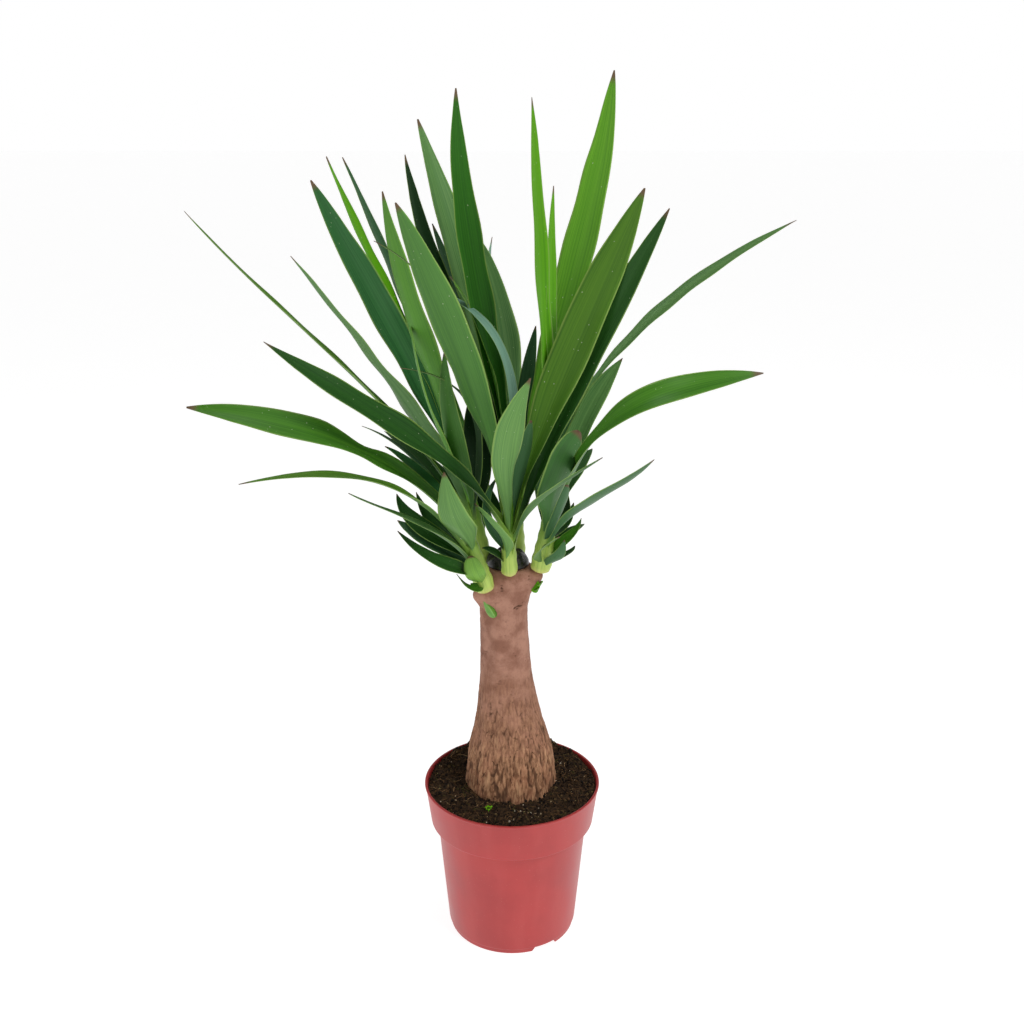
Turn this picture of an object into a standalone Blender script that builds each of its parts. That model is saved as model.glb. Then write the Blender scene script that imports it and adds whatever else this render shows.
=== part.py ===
"""Potted yucca: a cut cane with leafy heads, planted in a round nursery pot.

The frame is metres with +Z up. The origin is the centre of the pot's base, on the surface
that the pot stands on, and -Y is the front. Lengths below are millimetres.
"""
import math

import bmesh
import bpy
import numpy as np
from mathutils import Matrix, Vector, noise

MM = 0.001
GAP = 0.3

# Pot
RIM_RADIUS = 85.0
POT_HEIGHT = 156.0
COLLAR_BOTTOM = 117.0
COLLAR_RADIUS = 79.3
STEP_HEIGHT = 3.5
WALL_TOP_RADIUS = 72.8
WALL_BOTTOM_RADIUS = 63.2
FOOT_RADIUS = 62.0
FOOT_WIDTH = 3.0
FOOT_HEIGHT = 4.5
WALL_THICKNESS = 1.5
FLOOR_TOP = 6.5
BEAD_HEIGHT = 2.0
BEAD_WIDTH = 0.8
EDGE_ROUND = 0.4
COLLAR_LIP = 1.0
FOOT_FLARE = 1.2
POT_SIDES = 40
NOTCH_COUNT = 3
NOTCH_BEARING = -59.0
NOTCH_WIDTH = 27.0
NOTCH_SLOPE = 3.0
NOTCH_ROOF = 0.2
CUT_MARGIN = 1.0
CUT_REACH = 6.0
DRAIN_COUNT = 6
DRAIN_RADIUS = 4.0
DRAIN_CIRCLE = 38.0
DRAIN_SIDES = 12

# Soil
SOIL_EDGE = 151.5
SOIL_MOUND = 8.0
SOIL_RINGS = 7
SOIL_SIDES = 36
SOIL_BUMP = 2.2
COARSE_BUMP = (0.09, 3.0)
FINE_BUMP = (0.2, 9.0)
SOIL_BELOW_RIM = 1.0
SOIL_STEP_IN = 2.0
SOIL_CORE = 0.14
MOUND_POWER = 0.8
BACK_HEAP = 7.0

# Trunk: height, radius and sideways place of its centre
TRUNK_PROFILE = (
    (36, 30, 0), (52, 40, 0), (90, 46, 0), (130, 46, 0), (160, 43.5, -1), (180, 41.5, -1.5),
    (198, 38.5, -2), (224, 32, -3), (250, 27.5, -4.5), (275, 24.3, -5.7), (300, 23, -6.6),
    (324, 22.2, -7.5), (337, 22.2, -7.8), (349, 23.5, -7), (362, 24.5, -5.5), (373, 24, -4.5),
    (380, 20.5, -4),
)
TRUNK_SIDES = 32
TRUNK_TOP = 380.0
LUMP_SHARE = 0.035
LUMPS_AROUND = 1.6
LUMPS_ALONG = 0.02
RIDGE_COUNT = 9
RIDGE_DEPTH = 0.5
RIDGE_DRIFT = 0.02
FULL_RIDGE_RADIUS = 40.0

# Swellings of the trunk under the heads and broken buds: bearing, height and reach
SHOULDERS = ((205, 354, 6.5), (232, 358, 4.5), (350, 370, 9.5), (135, 364, 5.0), (70, 366, 4.5))
SHOULDER_TURN = 26.0
SHOULDER_HEIGHT = 10.0

# Wax on the cut
WAX_RADIUS = 19.0
WAX_HEIGHT = 14.0
WAX_SIDES = 20
WAX_CENTRE = (-4.0, 1.0)
WAX_SHAPE = ((1.0, 0.0), (1.02, 0.25), (0.9, 0.55), (0.66, 0.8), (0.36, 0.9))
WAX_LUMP = 0.35
WAX_LUMP_SCALE = 0.12

# Each head: its stem's base and top, and the radius at each
HEADS = {
    "head_left": ((-22.7, -19.2, 359.2), (-47, -34, 446), 9.5, 5.0),
    "head_middle": ((-2, -22, 376), (-4, -30, 452), 7.5, 4.5),
    "head_right": ((25, -10, 374), (38, -12, 452), 10.0, 5.5),
    "head_back_left": ((-25, 12, 368), (-40, 22, 446), 9.5, 5.0),
    "head_back": ((3, 21, 372), (4, 34, 450), 9.5, 5.0),
}
STEM_SIDES = 8

# A stem's rounded foot: height and radius as shares of its widest radius
STEM_FOOT = ((0.32, 0.55), (0.5, 0.86), (0.9, 1.0))
STEM_TIP = (1.1, 0.3)

# A leaf is one row: root height on the stem, bearing, lean from upright, length, bow,
# sway, width, roll and twist, in millimetres and degrees. Bearing 0 is +X and 90 is +Y.
LEAVES = {
    "head_left": (
        (62, 203, 59.4, 271, 42, 61, 27, -40, 0),
        (35, 224, 62.7, 265, 56, 38, 13, -15, 0),
        (21, 227, 53.3, 184, 5, -19, 12, -28, 0),
        (37, 247, 32, 115, -44, 15, 28, 15, 0),
        (8, 243, 35, 46, -26, 14, 19, 30, 0),
        (6, 195, 52, 100, 0, 70, 16, -30, 0),
        (9, 172, 53.5, 98, -2, -3, 18, -35, 0),
        (21, 158, 51.2, 106, -15, 15, 18, -30, 0),
        (27, 142, 52, 94, -36, -14, 16, -5, 0),
        (5, 198, 57, 32, -6, 44, 12, -10, 0),
        (46, 160, 43.3, 122, 12, -9, 18, -5, 0),
        (41, 157, 45.5, 155, 16, -28, 11, 10, 0),
    ),
    "head_middle": (
        (46, 6, 21.0, 315, 2, 7, 36, 60, 0),
        (22, 355, 23.3, 330, 7, 23, 26, 60, 0),
        (31, 323, 44.5, 138, 2, -54, 11, -12, 0),
        (34, 284, 24, 180, -34, -36, 28, 12, 0),
        (38, 328, 11.5, 114, 3, 5, 24, -15, 0),
        (70, 210, 20.8, 281, 3, 10, 31, 45, 0),
        (50, 195, 23.8, 275, 68, 4, 10, -8, 0),
        (42, 206, 47.8, 282, 4, 54, 27, -42, 0),
        (14, 148, 9.5, 79, 3, 60, 14, 0, 0),
        (13, 234, 35.3, 86, -18, 48, 12, 0, 0),
        (8, 204, 47.5, 36, 6, 0, 10, -35, 0),
    ),
    "head_right": (
        (63, 161, 3.3, 351, 0, 1, 20, -18, 0),
        (63, 91, 4.2, 281, 0, 5, 16, 50, 0),
        (66, 345, 53.6, 221, 87, -227, 23, 35, 50),
        (54, 41, 33.1, 162, 9, 9, 26, 10, 0),
        (30, 320, 18.2, 117, -31, -76, 33, -10, 0),
        (20, 300, 51.4, 206, -9, -19, 16, -6, 0),
        (7, 290, 45.2, 63, -9, -32, 12, 35, 0),
        (25, 60, 39, 63, -50, 8, 16, 0, 0),
        (22, 61, 63.5, 68, -24, 4, 14, 0, 0),
        (12, 2, 40, 55, -5, -20, 14, 20, 0),
        (3, 307, 40.5, 53, -16, -5, 13, -30, 0),
        (2, 28, 62, 42, 0, -10, 10, 0, 0),
        (20, 320, 20.3, 76, -12, -12, 17, 0, 0),
        (34, 66, 64, 130, 15, 0, 20, 0, 0),
        (30, 90, 30, 110, 10, 0, 22, 0, 0),
        (20, 75, 62, 150, 15, 0, 20, 0, 0),
        (8, 50, 70, 70, 8, 0, 15, 0, 0),
    ),
    "head_back_left": (
        (58, 200, 14.8, 298, -24, 47, 27, 30, 0),
        (56, 180, 24.4, 327, 1, -9, 30, -50, 0),
        (56, 162, 22.9, 343, -1, 1, 22, 0, 0),
        (52, 150, 23, 346, 5, -6, 20, 10, 0),
        (40, 192, 39.3, 377, -4, -9, 14, -6, 0),
        (38, 202, 31.6, 304, 10, -20, 24, 28, 0),
        (37, 221, 26.3, 186, 77, 40, 14, -10, 0),
        (52, 200, 16.7, 198, -45, 113, 18, -12, 0),
        (44, 230, 12.8, 174, -60, 40, 20, 15, 0),
        (36, 101, 17.4, 127, -3, -7, 28, 0, 0),
        (48, 122, 44, 255, 15, 0, 26, 0, 0),
        (38, 108, 52, 210, 22, 0, 24, 0, 0),
        (26, 135, 58, 160, 22, 0, 22, 0, 0),
        (14, 125, 66, 130, 15, 0, 18, 0, 0),
        (12, 98, 66, 92, 8, 0, 15, 0, 0),
    ),
    "head_back": (
        (44, 24, 13.2, 405, -14, -5, 31, 45, 0),
        (58, 22, 49.2, 381, 4, 98, 19, 10, 0),
        (54, 167, 8.1, 373, -16, 15, 25, -52, 0),
        (60, 145, 17.6, 355, 6, -1, 31, -15, 0),
        (57, 158, 18.7, 329, -16, 9, 24, -15, 0),
        (50, 140, 21.3, 276, 5, -4, 24, 5, 0),
        (50, 120, 17.3, 262, -47, -58, 28, -5, 0),
        (40, 99, 30.7, 288, 0, 24, 22, 62, 0),
        (50, 66, 15, 173, 0, 4, 17, 0, 0),
        (60, 160, 21.6, 206, 112, 72, 16, -8, 0),
        (50, 180, 14.9, 225, 26, -2, 26, -5, 0),
        (38, 118, 47, 244, 22, 0, 25, 0, 0),
        (28, 60, 58, 200, 25, 0, 24, 0, 0),
        (24, 95, 59, 186, 25, 0, 22, 0, 0),
        (16, 130, 60, 170, 20, 0, 20, 0, 0),
        (10, 85, 74, 120, 15, 0, 18, 0, 0),
    ),
}

# Small growths on the trunk: a bud in front and a sprout of two leaflets to the right
BUD = ((-17.0, -21.0, 338), (-26.0, -22.0, 353), 3.8)
BUD_SHAPE = ((-0.12, 0.5), (0.05, 0.9), (0.3, 1.0), (0.6, 0.72), (0.85, 0.34), (1.0, 0.08))
BUD_FLATNESS = 0.7
SPROUT_HEAD = ((19, -10, 357), (25, -14, 367), 3.8, 2.4)
SPROUT_LEAVES = (
    (7, 325, 42, 10, -2, 0, 7, 20, 0),
    (3, 300, 62, 9, -2, 0, 6, 20, 0),
)

# Width of a blade along its length, as a share of its full width: most blades are widest
# past their middle, and a few are seen with a waist, a long neck, a thin end or a round end
BLADE = ((0, 0.55), (0.07, 0.46), (0.15, 0.36), (0.3, 0.66), (0.45, 0.93), (0.6, 1.0),
         (0.75, 0.86), (0.88, 0.54), (1.0, 0.06))
WAISTED = ((0, 0.5), (0.15, 0.55), (0.3, 0.66), (0.42, 0.66), (0.49, 0.5), (0.57, 0.74),
           (0.65, 0.97), (0.75, 1.0), (0.88, 0.68), (1.0, 0.06))
NECKED = ((0, 0.5), (0.15, 0.32), (0.38, 0.46), (0.5, 0.72), (0.63, 1.0), (0.76, 0.94),
          (0.88, 0.6), (1.0, 0.06))
TAILED = ((0, 0.6), (0.12, 0.5), (0.28, 0.9), (0.42, 1.0), (0.55, 0.66), (0.72, 0.4),
          (0.88, 0.26), (1.0, 0.06))
LATE = ((0, 0.55), (0.15, 0.5), (0.3, 0.62), (0.45, 0.68), (0.6, 0.88), (0.74, 1.0),
        (0.88, 0.7), (1.0, 0.06))
ROUND = ((0, 0.6), (0.1, 0.5), (0.2, 0.55), (0.45, 0.9), (0.75, 1.0), (0.92, 0.8), (1.0, 0.34))
SPOON = ((0, 0.42), (0.2, 0.3), (0.38, 0.4), (0.52, 0.75), (0.66, 1.0), (0.82, 0.97),
         (0.93, 0.7), (1.0, 0.3))
ODD_SHAPES = {
    ("head_left", 0): WAISTED, ("head_left", 2): TAILED, ("head_middle", 3): NECKED,
    ("head_right", 2): LATE, ("head_right", 4): SPOON, ("head_right", 12): ROUND,
    ("head_back_left", 5): TAILED, ("head_back", 1): NECKED,
}

# How far the halves of a blade fold up from its middle, in degrees
FOLD_SHAPE = ((0, 62), (0.15, 50), (0.35, 24), (0.6, 13), (1.0, 6))
LONG_STATIONS = (0, 0.1, 0.22, 0.38, 0.55, 0.72, 0.88, 1.0)
SHORT_STATIONS = (0, 0.2, 0.45, 0.75, 1.0)
SHORT_LENGTH = 110.0
BASE_THICKNESS = 1.8
TIP_THICKNESS = 0.8
EDGE_THICKNESS = 0.7
START_STEEPNESS = 0.42
FIRST_PULL = 0.3
SECOND_PULL = 0.68
ROOT_OFFSET = 2.5

# Colours of the plain materials: red, green and blue from 0 to 1
PLASTIC_COLOUR = (0.43, 0.055, 0.055)
SOIL_COLOUR = (0.03, 0.018, 0.012)
BARK_COLOUR = (0.29, 0.16, 0.09)
WAX_COLOUR = (0.02, 0.018, 0.018)
LEAF_COLOUR = (0.06, 0.2, 0.03)


def remove_everything():
    for item in list(bpy.data.objects):
        bpy.data.objects.remove(item, do_unlink=True)


def principled(name, colour, roughness):
    """A plain material with one colour."""
    material = bpy.data.materials.new(name)
    material.use_nodes = True
    shader = material.node_tree.nodes["Principled BSDF"]
    shader.inputs["Base Color"].default_value = (*colour, 1.0)
    shader.inputs["Roughness"].default_value = roughness
    shader.inputs["Metallic"].default_value = 0.0
    return material


def add_object(name, points, faces, material=None):
    """A new object from points in millimetres and faces of point numbers."""
    mesh = bpy.data.meshes.new(name)
    mesh.from_pydata([tuple(v * MM for v in p) for p in points], [], [tuple(f) for f in faces])
    item = bpy.data.objects.new(name, mesh)
    bpy.context.scene.collection.objects.link(item)
    if material:
        mesh.materials.append(material)
    return item


def face_outward(item):
    """Turns the faces of a closed mesh outward."""
    work = bmesh.new()
    work.from_mesh(item.data)
    bmesh.ops.recalc_face_normals(work, faces=work.faces)
    work.to_mesh(item.data)
    work.free()


def bake_modifiers(item):
    """Puts an object's evaluated mesh in place of its modifiers."""
    bpy.context.view_layer.update()
    evaluated = item.evaluated_get(bpy.context.evaluated_depsgraph_get())
    mesh = bpy.data.meshes.new_from_object(evaluated)
    item.modifiers.clear()
    item.data = mesh


def combine(item, operation, others, solver="EXACT"):
    """Joins others to item, or cuts them from it, and removes them."""
    group = bpy.data.collections.new("operands")
    bpy.context.scene.collection.children.link(group)
    for other in others:
        bpy.context.scene.collection.objects.unlink(other)
        group.objects.link(other)
    boolean = item.modifiers.new("Boolean", "BOOLEAN")
    boolean.operation = operation
    boolean.operand_type = "COLLECTION"
    boolean.collection = group
    boolean.solver = solver
    bake_modifiers(item)
    for other in others:
        bpy.data.objects.remove(other, do_unlink=True)
    bpy.data.collections.remove(group)


def keep_largest_body(item):
    """Drops loose scraps and sealed hollows, so that one closed body is left."""
    work = bmesh.new()
    work.from_mesh(item.data)
    unseen = set(work.faces)
    bodies = []
    while unseen:
        stack = [unseen.pop()]
        body = list(stack)
        while stack:
            for edge in stack.pop().edges:
                for face in edge.link_faces:
                    if face in unseen:
                        unseen.remove(face)
                        stack.append(face)
                        body.append(face)
        bodies.append(body)
    bodies.sort(key=lambda faces: sum(face.calc_area() for face in faces))
    scraps = [face for body in bodies[:-1] for face in body]
    bmesh.ops.delete(work, geom=scraps, context="FACES")
    bmesh.ops.triangulate(work, faces=work.faces)
    work.to_mesh(item.data)
    work.free()


def grown_copy(item, amount):
    """A copy of an object with its surface moved out by a clearance in millimetres."""
    copy = item.copy()
    copy.data = item.data.copy()
    bpy.context.scene.collection.objects.link(copy)
    work = bmesh.new()
    work.from_mesh(copy.data)
    moves = [(vert, vert.normal * vert.calc_shell_factor()) for vert in work.verts]
    for vert, move in moves:
        vert.co += move * amount * MM
    work.to_mesh(copy.data)
    work.free()
    return copy


def turned_solid(name, rings, sides, material=None):
    """A closed solid from rings of points, each a list of the same length."""
    points = [p for ring in rings for p in ring]
    faces = []
    for level in range(len(rings) - 1):
        for k in range(sides):
            a = level * sides + k
            b = level * sides + (k + 1) % sides
            faces.append((a, b, b + sides))
            faces.append((a, b + sides, a + sides))
    faces.append(tuple(reversed(range(sides))))
    top = (len(rings) - 1) * sides
    faces.append(tuple(range(top, top + sides)))
    item = add_object(name, points, faces, material)
    face_outward(item)
    return item


def circle(radius, height, sides, centre=(0.0, 0.0)):
    turns = [math.tau * k / sides for k in range(sides)]
    return [(centre[0] + radius * math.cos(a), centre[1] + radius * math.sin(a), height)
            for a in turns]


def pot_outside():
    """Radius and height down the pot's outer side, from rim to foot."""
    bead = POT_HEIGHT - BEAD_HEIGHT
    return (
        (RIM_RADIUS - EDGE_ROUND, POT_HEIGHT), (RIM_RADIUS, POT_HEIGHT - EDGE_ROUND),
        (RIM_RADIUS, bead + EDGE_ROUND), (RIM_RADIUS - BEAD_WIDTH, bead),
        (COLLAR_RADIUS, COLLAR_BOTTOM), (COLLAR_RADIUS - COLLAR_LIP, COLLAR_BOTTOM - COLLAR_LIP),
        (WALL_TOP_RADIUS, COLLAR_BOTTOM - STEP_HEIGHT),
        (WALL_BOTTOM_RADIUS, FOOT_HEIGHT + FOOT_FLARE),
        (WALL_BOTTOM_RADIUS - EDGE_ROUND, FOOT_HEIGHT + EDGE_ROUND),
        (FOOT_RADIUS, FOOT_HEIGHT), (FOOT_RADIUS - EDGE_ROUND, 0.0),
    )


def pot_inside(inset=0.0):
    """Radius and height up the pot's inner side, from floor to rim."""
    thick = WALL_THICKNESS + inset
    step_top = COLLAR_BOTTOM + COLLAR_LIP
    return (
        (WALL_BOTTOM_RADIUS - thick, FLOOR_TOP + inset),
        (WALL_TOP_RADIUS - thick, step_top - STEP_HEIGHT),
        (COLLAR_RADIUS - thick, step_top),
        (RIM_RADIUS - BEAD_WIDTH - thick, POT_HEIGHT),
    )


def make_pot(material):
    """The pot's wall, collar, floor and foot ring, with foot notches and drain holes."""
    foot_inside = FOOT_RADIUS - FOOT_WIDTH
    profile = [*pot_outside(), (foot_inside, 0.0), (foot_inside - EDGE_ROUND, FOOT_HEIGHT)]
    inner = [(radius, height) for radius, height in pot_inside()]
    under = [circle(r, z, POT_SIDES) for r, z in reversed(profile)]
    upper = [circle(r, z, POT_SIDES) for r, z in reversed(inner)]
    pot = turned_solid("pot", under + upper, POT_SIDES, material)
    cutters = []
    half = NOTCH_WIDTH / 2
    roof = FOOT_HEIGHT - NOTCH_ROOF
    outline = ((-half, -CUT_MARGIN), (half, -CUT_MARGIN), (half, 0.0), (half - NOTCH_SLOPE, roof),
               (-half + NOTCH_SLOPE, roof), (-half, 0.0))
    near = [(foot_inside - CUT_REACH, y, z) for y, z in outline]
    far = [(FOOT_RADIUS + CUT_REACH, y, z) for y, z in outline]
    for k in range(NOTCH_COUNT):
        turn = math.radians(NOTCH_BEARING) + math.tau * k / NOTCH_COUNT
        count = len(outline)
        sides = [(i, (i + 1) % count, (i + 1) % count + count, i + count) for i in range(count)]
        faces = [tuple(reversed(range(count))), tuple(range(count, 2 * count)), *sides]
        cutter = add_object("notch", near + far, faces)
        face_outward(cutter)
        cutter.data.transform(Matrix.Rotation(turn, 4, "Z"))
        cutters.append(cutter)
    for k in range(DRAIN_COUNT):
        turn = math.radians(NOTCH_BEARING) + math.tau * k / DRAIN_COUNT
        centre = (DRAIN_CIRCLE * math.cos(turn), DRAIN_CIRCLE * math.sin(turn))
        ends = (FOOT_HEIGHT - CUT_MARGIN, FLOOR_TOP + CUT_MARGIN)
        rings = [circle(DRAIN_RADIUS, z, DRAIN_SIDES, centre) for z in ends]
        cutters.append(turned_solid("drain", rings, DRAIN_SIDES))
    combine(pot, "DIFFERENCE", cutters)
    keep_largest_body(pot)
    return pot


def soil_height(x, y):
    """The soil's surface: mounded round the trunk, heaped at the back, and lumpy."""
    reach = math.hypot(x, y)
    edge = RIM_RADIUS - BEAD_WIDTH - WALL_THICKNESS
    mound = SOIL_MOUND * max(0.0, 1.0 - reach / edge) ** MOUND_POWER
    heap = BACK_HEAP * max(0.0, y / edge) ** 2
    coarse, fine = (noise.noise(Vector((x * scale, y * scale, layer)))
                    for scale, layer in (COARSE_BUMP, FINE_BUMP))
    return SOIL_EDGE + mound + heap + SOIL_BUMP * (coarse + 0.5 * fine)


def make_soil(material):
    """The potting soil, which fills the pot and has a hole for the trunk."""
    wall = pot_inside(GAP)
    rings = [circle(r, z, SOIL_SIDES) for r, z in wall[:-1]]
    low, high = wall[-2], wall[-1]
    for k in range(SOIL_RINGS):
        share = 1.0 - (1.0 - SOIL_CORE) * k / (SOIL_RINGS - 1)
        ring = []
        for i in range(SOIL_SIDES):
            turn = math.tau * i / SOIL_SIDES
            edge_x, edge_y = math.cos(turn), math.sin(turn)
            if k == 0:
                height = soil_height(high[0] * edge_x, high[0] * edge_y)
                height = min(height, POT_HEIGHT - SOIL_BELOW_RIM)
                radius = low[0] + (high[0] - low[0]) * (height - low[1]) / (high[1] - low[1])
            else:
                radius = (high[0] - SOIL_STEP_IN) * share
                height = soil_height(radius * edge_x, radius * edge_y)
            ring.append((radius * edge_x, radius * edge_y, height))
        rings.append(ring)
    return turned_solid("soil", rings, SOIL_SIDES, material)


def trunk_shape(height):
    """The trunk's radius and centre at a height."""
    heights = [row[0] for row in TRUNK_PROFILE]
    radius = float(np.interp(height, heights, [row[1] for row in TRUNK_PROFILE]))
    centre = float(np.interp(height, heights, [row[2] for row in TRUNK_PROFILE]))
    return radius, centre


def shoulder(turn, height):
    """How far the trunk swells towards the heads that grow from it."""
    swell = 0.0
    for bearing, level, reach in SHOULDERS:
        apart = math.degrees(math.remainder(turn - math.radians(bearing), math.tau))
        around = (apart / SHOULDER_TURN) ** 2
        along = ((height - level) / SHOULDER_HEIGHT) ** 2
        swell += reach * math.exp(-around - along)
    return swell


def make_trunk(material):
    """The cane: a swollen foot in the soil, a waist, and a shoulder under each head."""
    rings = []
    for height, *_ in TRUNK_PROFILE:
        radius, centre = trunk_shape(height)
        ring = []
        for k in range(TRUNK_SIDES):
            turn = math.tau * k / TRUNK_SIDES
            way = Vector((math.cos(turn) * LUMPS_AROUND, math.sin(turn) * LUMPS_AROUND,
                          height * LUMPS_ALONG))
            lump = LUMP_SHARE * radius * noise.noise(way)
            ridge = RIDGE_DEPTH * math.sin(RIDGE_COUNT * turn + height * RIDGE_DRIFT)
            ridge *= min(1.0, radius / FULL_RIDGE_RADIUS)
            out = radius + lump + ridge + shoulder(turn, height)
            if height >= TRUNK_TOP:
                out = radius + lump
            ring.append((centre + out * math.cos(turn), out * math.sin(turn), height))
        rings.append(ring)
    return turned_solid("trunk", rings, TRUNK_SIDES, material)


def make_wax(material):
    """The sealing wax poured over the cut: a lumpy cap, thicker behind and to each side."""
    rings = []
    for share, rise in WAX_SHAPE:
        ring = []
        for k in range(WAX_SIDES):
            turn = math.tau * k / WAX_SIDES
            x = WAX_CENTRE[0] + share * WAX_RADIUS * math.cos(turn)
            y = WAX_CENTRE[1] + share * WAX_RADIUS * math.sin(turn)
            way = Vector((x * WAX_LUMP_SCALE, y * WAX_LUMP_SCALE, 1.0))
            lump = 1.0 + WAX_LUMP * noise.noise(way)
            ring.append((x, y, TRUNK_TOP + GAP + rise * WAX_HEIGHT * lump))
        rings.append(ring)
    return turned_solid("wax_seal", rings, WAX_SIDES, material)


def make_stem(name, head, material):
    """A head's stem: a rounded foot, then a taper."""
    base, top, wide, slim = head
    base, top = Vector(base), Vector(top)
    along = (top - base).normalized()
    length = (top - base).length
    across = along.cross(Vector((0, 1, 0))).normalized()
    ahead = along.cross(across)
    shape = [(wide * height, wide * radius) for height, radius in STEM_FOOT]
    shape += [(0.5 * length, 0.5 * (wide + slim)), (length, slim)]
    shape.append((length * STEM_TIP[0], slim * STEM_TIP[1]))
    rings = []
    for height, radius in shape:
        centre = base + along * height
        turns = [math.tau * k / STEM_SIDES for k in range(STEM_SIDES)]
        ring = [centre + radius * (math.cos(a) * across + math.sin(a) * ahead) for a in turns]
        rings.append([tuple(p) for p in ring])
    return turned_solid(name, rings, STEM_SIDES, material)


def leaf_midline(head, row, stations):
    """Points along a leaf's middle, and the level direction across it."""
    base, top = (np.array(p, float) for p in head[:2])
    root, bearing, lean, length, bow, sway = row[:6]
    stem = (top - base) / np.linalg.norm(top - base)
    turn, tilt = math.radians(bearing), math.radians(lean)
    out = np.array((math.cos(turn), math.sin(turn), 0.0))
    side = np.array((-math.sin(turn), math.cos(turn), 0.0))
    up = np.array((0.0, 0.0, 1.0))
    chord = out * math.sin(tilt) + up * math.cos(tilt)
    rise = up * math.sin(tilt) - out * math.cos(tilt)
    axis = base + stem * root
    start = axis + out * ROOT_OFFSET
    first = axis + length * FIRST_PULL * (chord + rise * math.tan(tilt * START_STEEPNESS))
    second = axis + chord * length * SECOND_PULL + rise * bow + side * sway
    end = axis + chord * length
    u = np.array(stations)[:, None]
    middle = (1 - u) ** 3 * start + 3 * (1 - u) ** 2 * u * first
    middle += 3 * (1 - u) * u ** 2 * second + u ** 3 * end
    return middle, side


def shape_at(shape, share):
    return float(np.interp(share, [row[0] for row in shape], [row[1] for row in shape]))


def make_leaf(head, row, widths):
    """One sword-shaped blade: a clasping base, a narrow neck, and a long point."""
    width, roll, twist = row[6:9]
    stations = LONG_STATIONS if row[3] > SHORT_LENGTH else SHORT_STATIONS
    middle, side = leaf_midline(head, row, stations)
    along = np.gradient(middle, axis=0)
    points = []
    for k, share in enumerate(stations):
        forward = along[k] / np.linalg.norm(along[k])
        across = side - forward * side.dot(forward)
        across /= np.linalg.norm(across)
        face = np.cross(forward, across)
        turn = math.radians(roll + twist * (share - 0.5))
        turned = across * math.cos(turn) + face * math.sin(turn)
        upper = face * math.cos(turn) - across * math.sin(turn)
        half = 0.5 * width * shape_at(widths, share)
        fold = math.radians(shape_at(FOLD_SHAPE, share))
        lift = upper * half * math.sin(fold)
        spread = turned * half * math.cos(fold)
        thick = BASE_THICKNESS + (TIP_THICKNESS - BASE_THICKNESS) * share ** 0.5
        top_row = (middle[k] - spread + lift, middle[k], middle[k] + spread + lift)
        points += [*top_row, *(p - upper * t for p, t in
                               zip(top_row, (EDGE_THICKNESS, thick, EDGE_THICKNESS)))]
    faces = []
    for k in range(len(stations) - 1):
        a, b = 6 * k, 6 * k + 6
        for left in (0, 1):
            faces += [(a + left, a + left + 1, b + left + 1), (a + left, b + left + 1, b + left)]
            a_low, b_low = a + left + 3, b + left + 3
            faces += [(a_low, b_low + 1, a_low + 1), (a_low, b_low, b_low + 1)]
        faces += [(a, b, b + 3), (a, b + 3, a + 3), (a + 2, b + 5, b + 2), (a + 2, a + 5, b + 5)]
    for a in (0, 6 * (len(stations) - 1)):
        faces += [(a, a + 3, a + 4), (a, a + 4, a + 1)]
        faces += [(a + 1, a + 4, a + 5), (a + 1, a + 5, a + 2)]
    leaf = add_object("leaf", [tuple(p) for p in points], faces)
    face_outward(leaf)
    return leaf


def make_head(name, head, rows, trunk, material):
    """A stem with its leaves, fused into one body and cut to sit on the trunk."""
    body = make_stem(name, head, material)
    shapes = [ODD_SHAPES.get((name, k), BLADE) for k in range(len(rows))]
    leaves = [make_leaf(head, row, widths) for row, widths in zip(rows, shapes)]
    combine(body, "UNION", leaves)
    combine(body, "DIFFERENCE", [grown_copy(trunk, GAP)])
    keep_largest_body(body)
    return body


def make_bud(trunk, material):
    """A pointed bud that lies close along the trunk."""
    base, tip, wide = Vector(BUD[0]), Vector(BUD[1]), BUD[2]
    along = (tip - base).normalized()
    length = (tip - base).length
    across = along.cross(Vector((0, 1, 0))).normalized()
    ahead = along.cross(across)
    rings = []
    for share, size in BUD_SHAPE:
        centre = base + along * length * share
        turns = [math.tau * k / STEM_SIDES for k in range(STEM_SIDES)]
        ways = [math.cos(a) * across + BUD_FLATNESS * math.sin(a) * ahead for a in turns]
        rings.append([tuple(centre + wide * size * way) for way in ways])
    bud = turned_solid("bud_left", rings, STEM_SIDES, material)
    combine(bud, "DIFFERENCE", [grown_copy(trunk, GAP)])
    keep_largest_body(bud)


def main():
    remove_everything()
    plastic = principled("red_plastic", PLASTIC_COLOUR, 0.42)
    peat = principled("soil", SOIL_COLOUR, 0.95)
    bark = principled("bark", BARK_COLOUR, 0.85)
    wax = principled("wax", WAX_COLOUR, 0.4)
    green = principled("leaf_green", LEAF_COLOUR, 0.4)
    make_pot(plastic)
    trunk = make_trunk(bark)
    soil = make_soil(peat)
    combine(soil, "DIFFERENCE", [grown_copy(trunk, GAP)])
    keep_largest_body(soil)
    seal = make_wax(wax)
    stems = [make_stem("stem", head, None) for head in HEADS.values()]
    cuts = [grown_copy(stem, GAP) for stem in stems]
    for stem in stems:
        bpy.data.objects.remove(stem, do_unlink=True)
    combine(seal, "DIFFERENCE", cuts)
    keep_largest_body(seal)
    for name, head in HEADS.items():
        make_head(name, head, LEAVES[name], trunk, green)
    make_head("sprout_right", SPROUT_HEAD, SPROUT_LEAVES, trunk, green)
    make_bud(trunk, green)


main()
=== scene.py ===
"""The looks of a potted yucca: fine blades, bark, soil and a satin plastic pot.

Lengths are millimetres until a mesh is made, colours are 0 to 255 as a screen shows them,
+Z is up and -Y is the front.
"""
import math
import random

import bmesh
import bpy
import numpy as np
from mathutils import Matrix, Vector, noise


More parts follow.
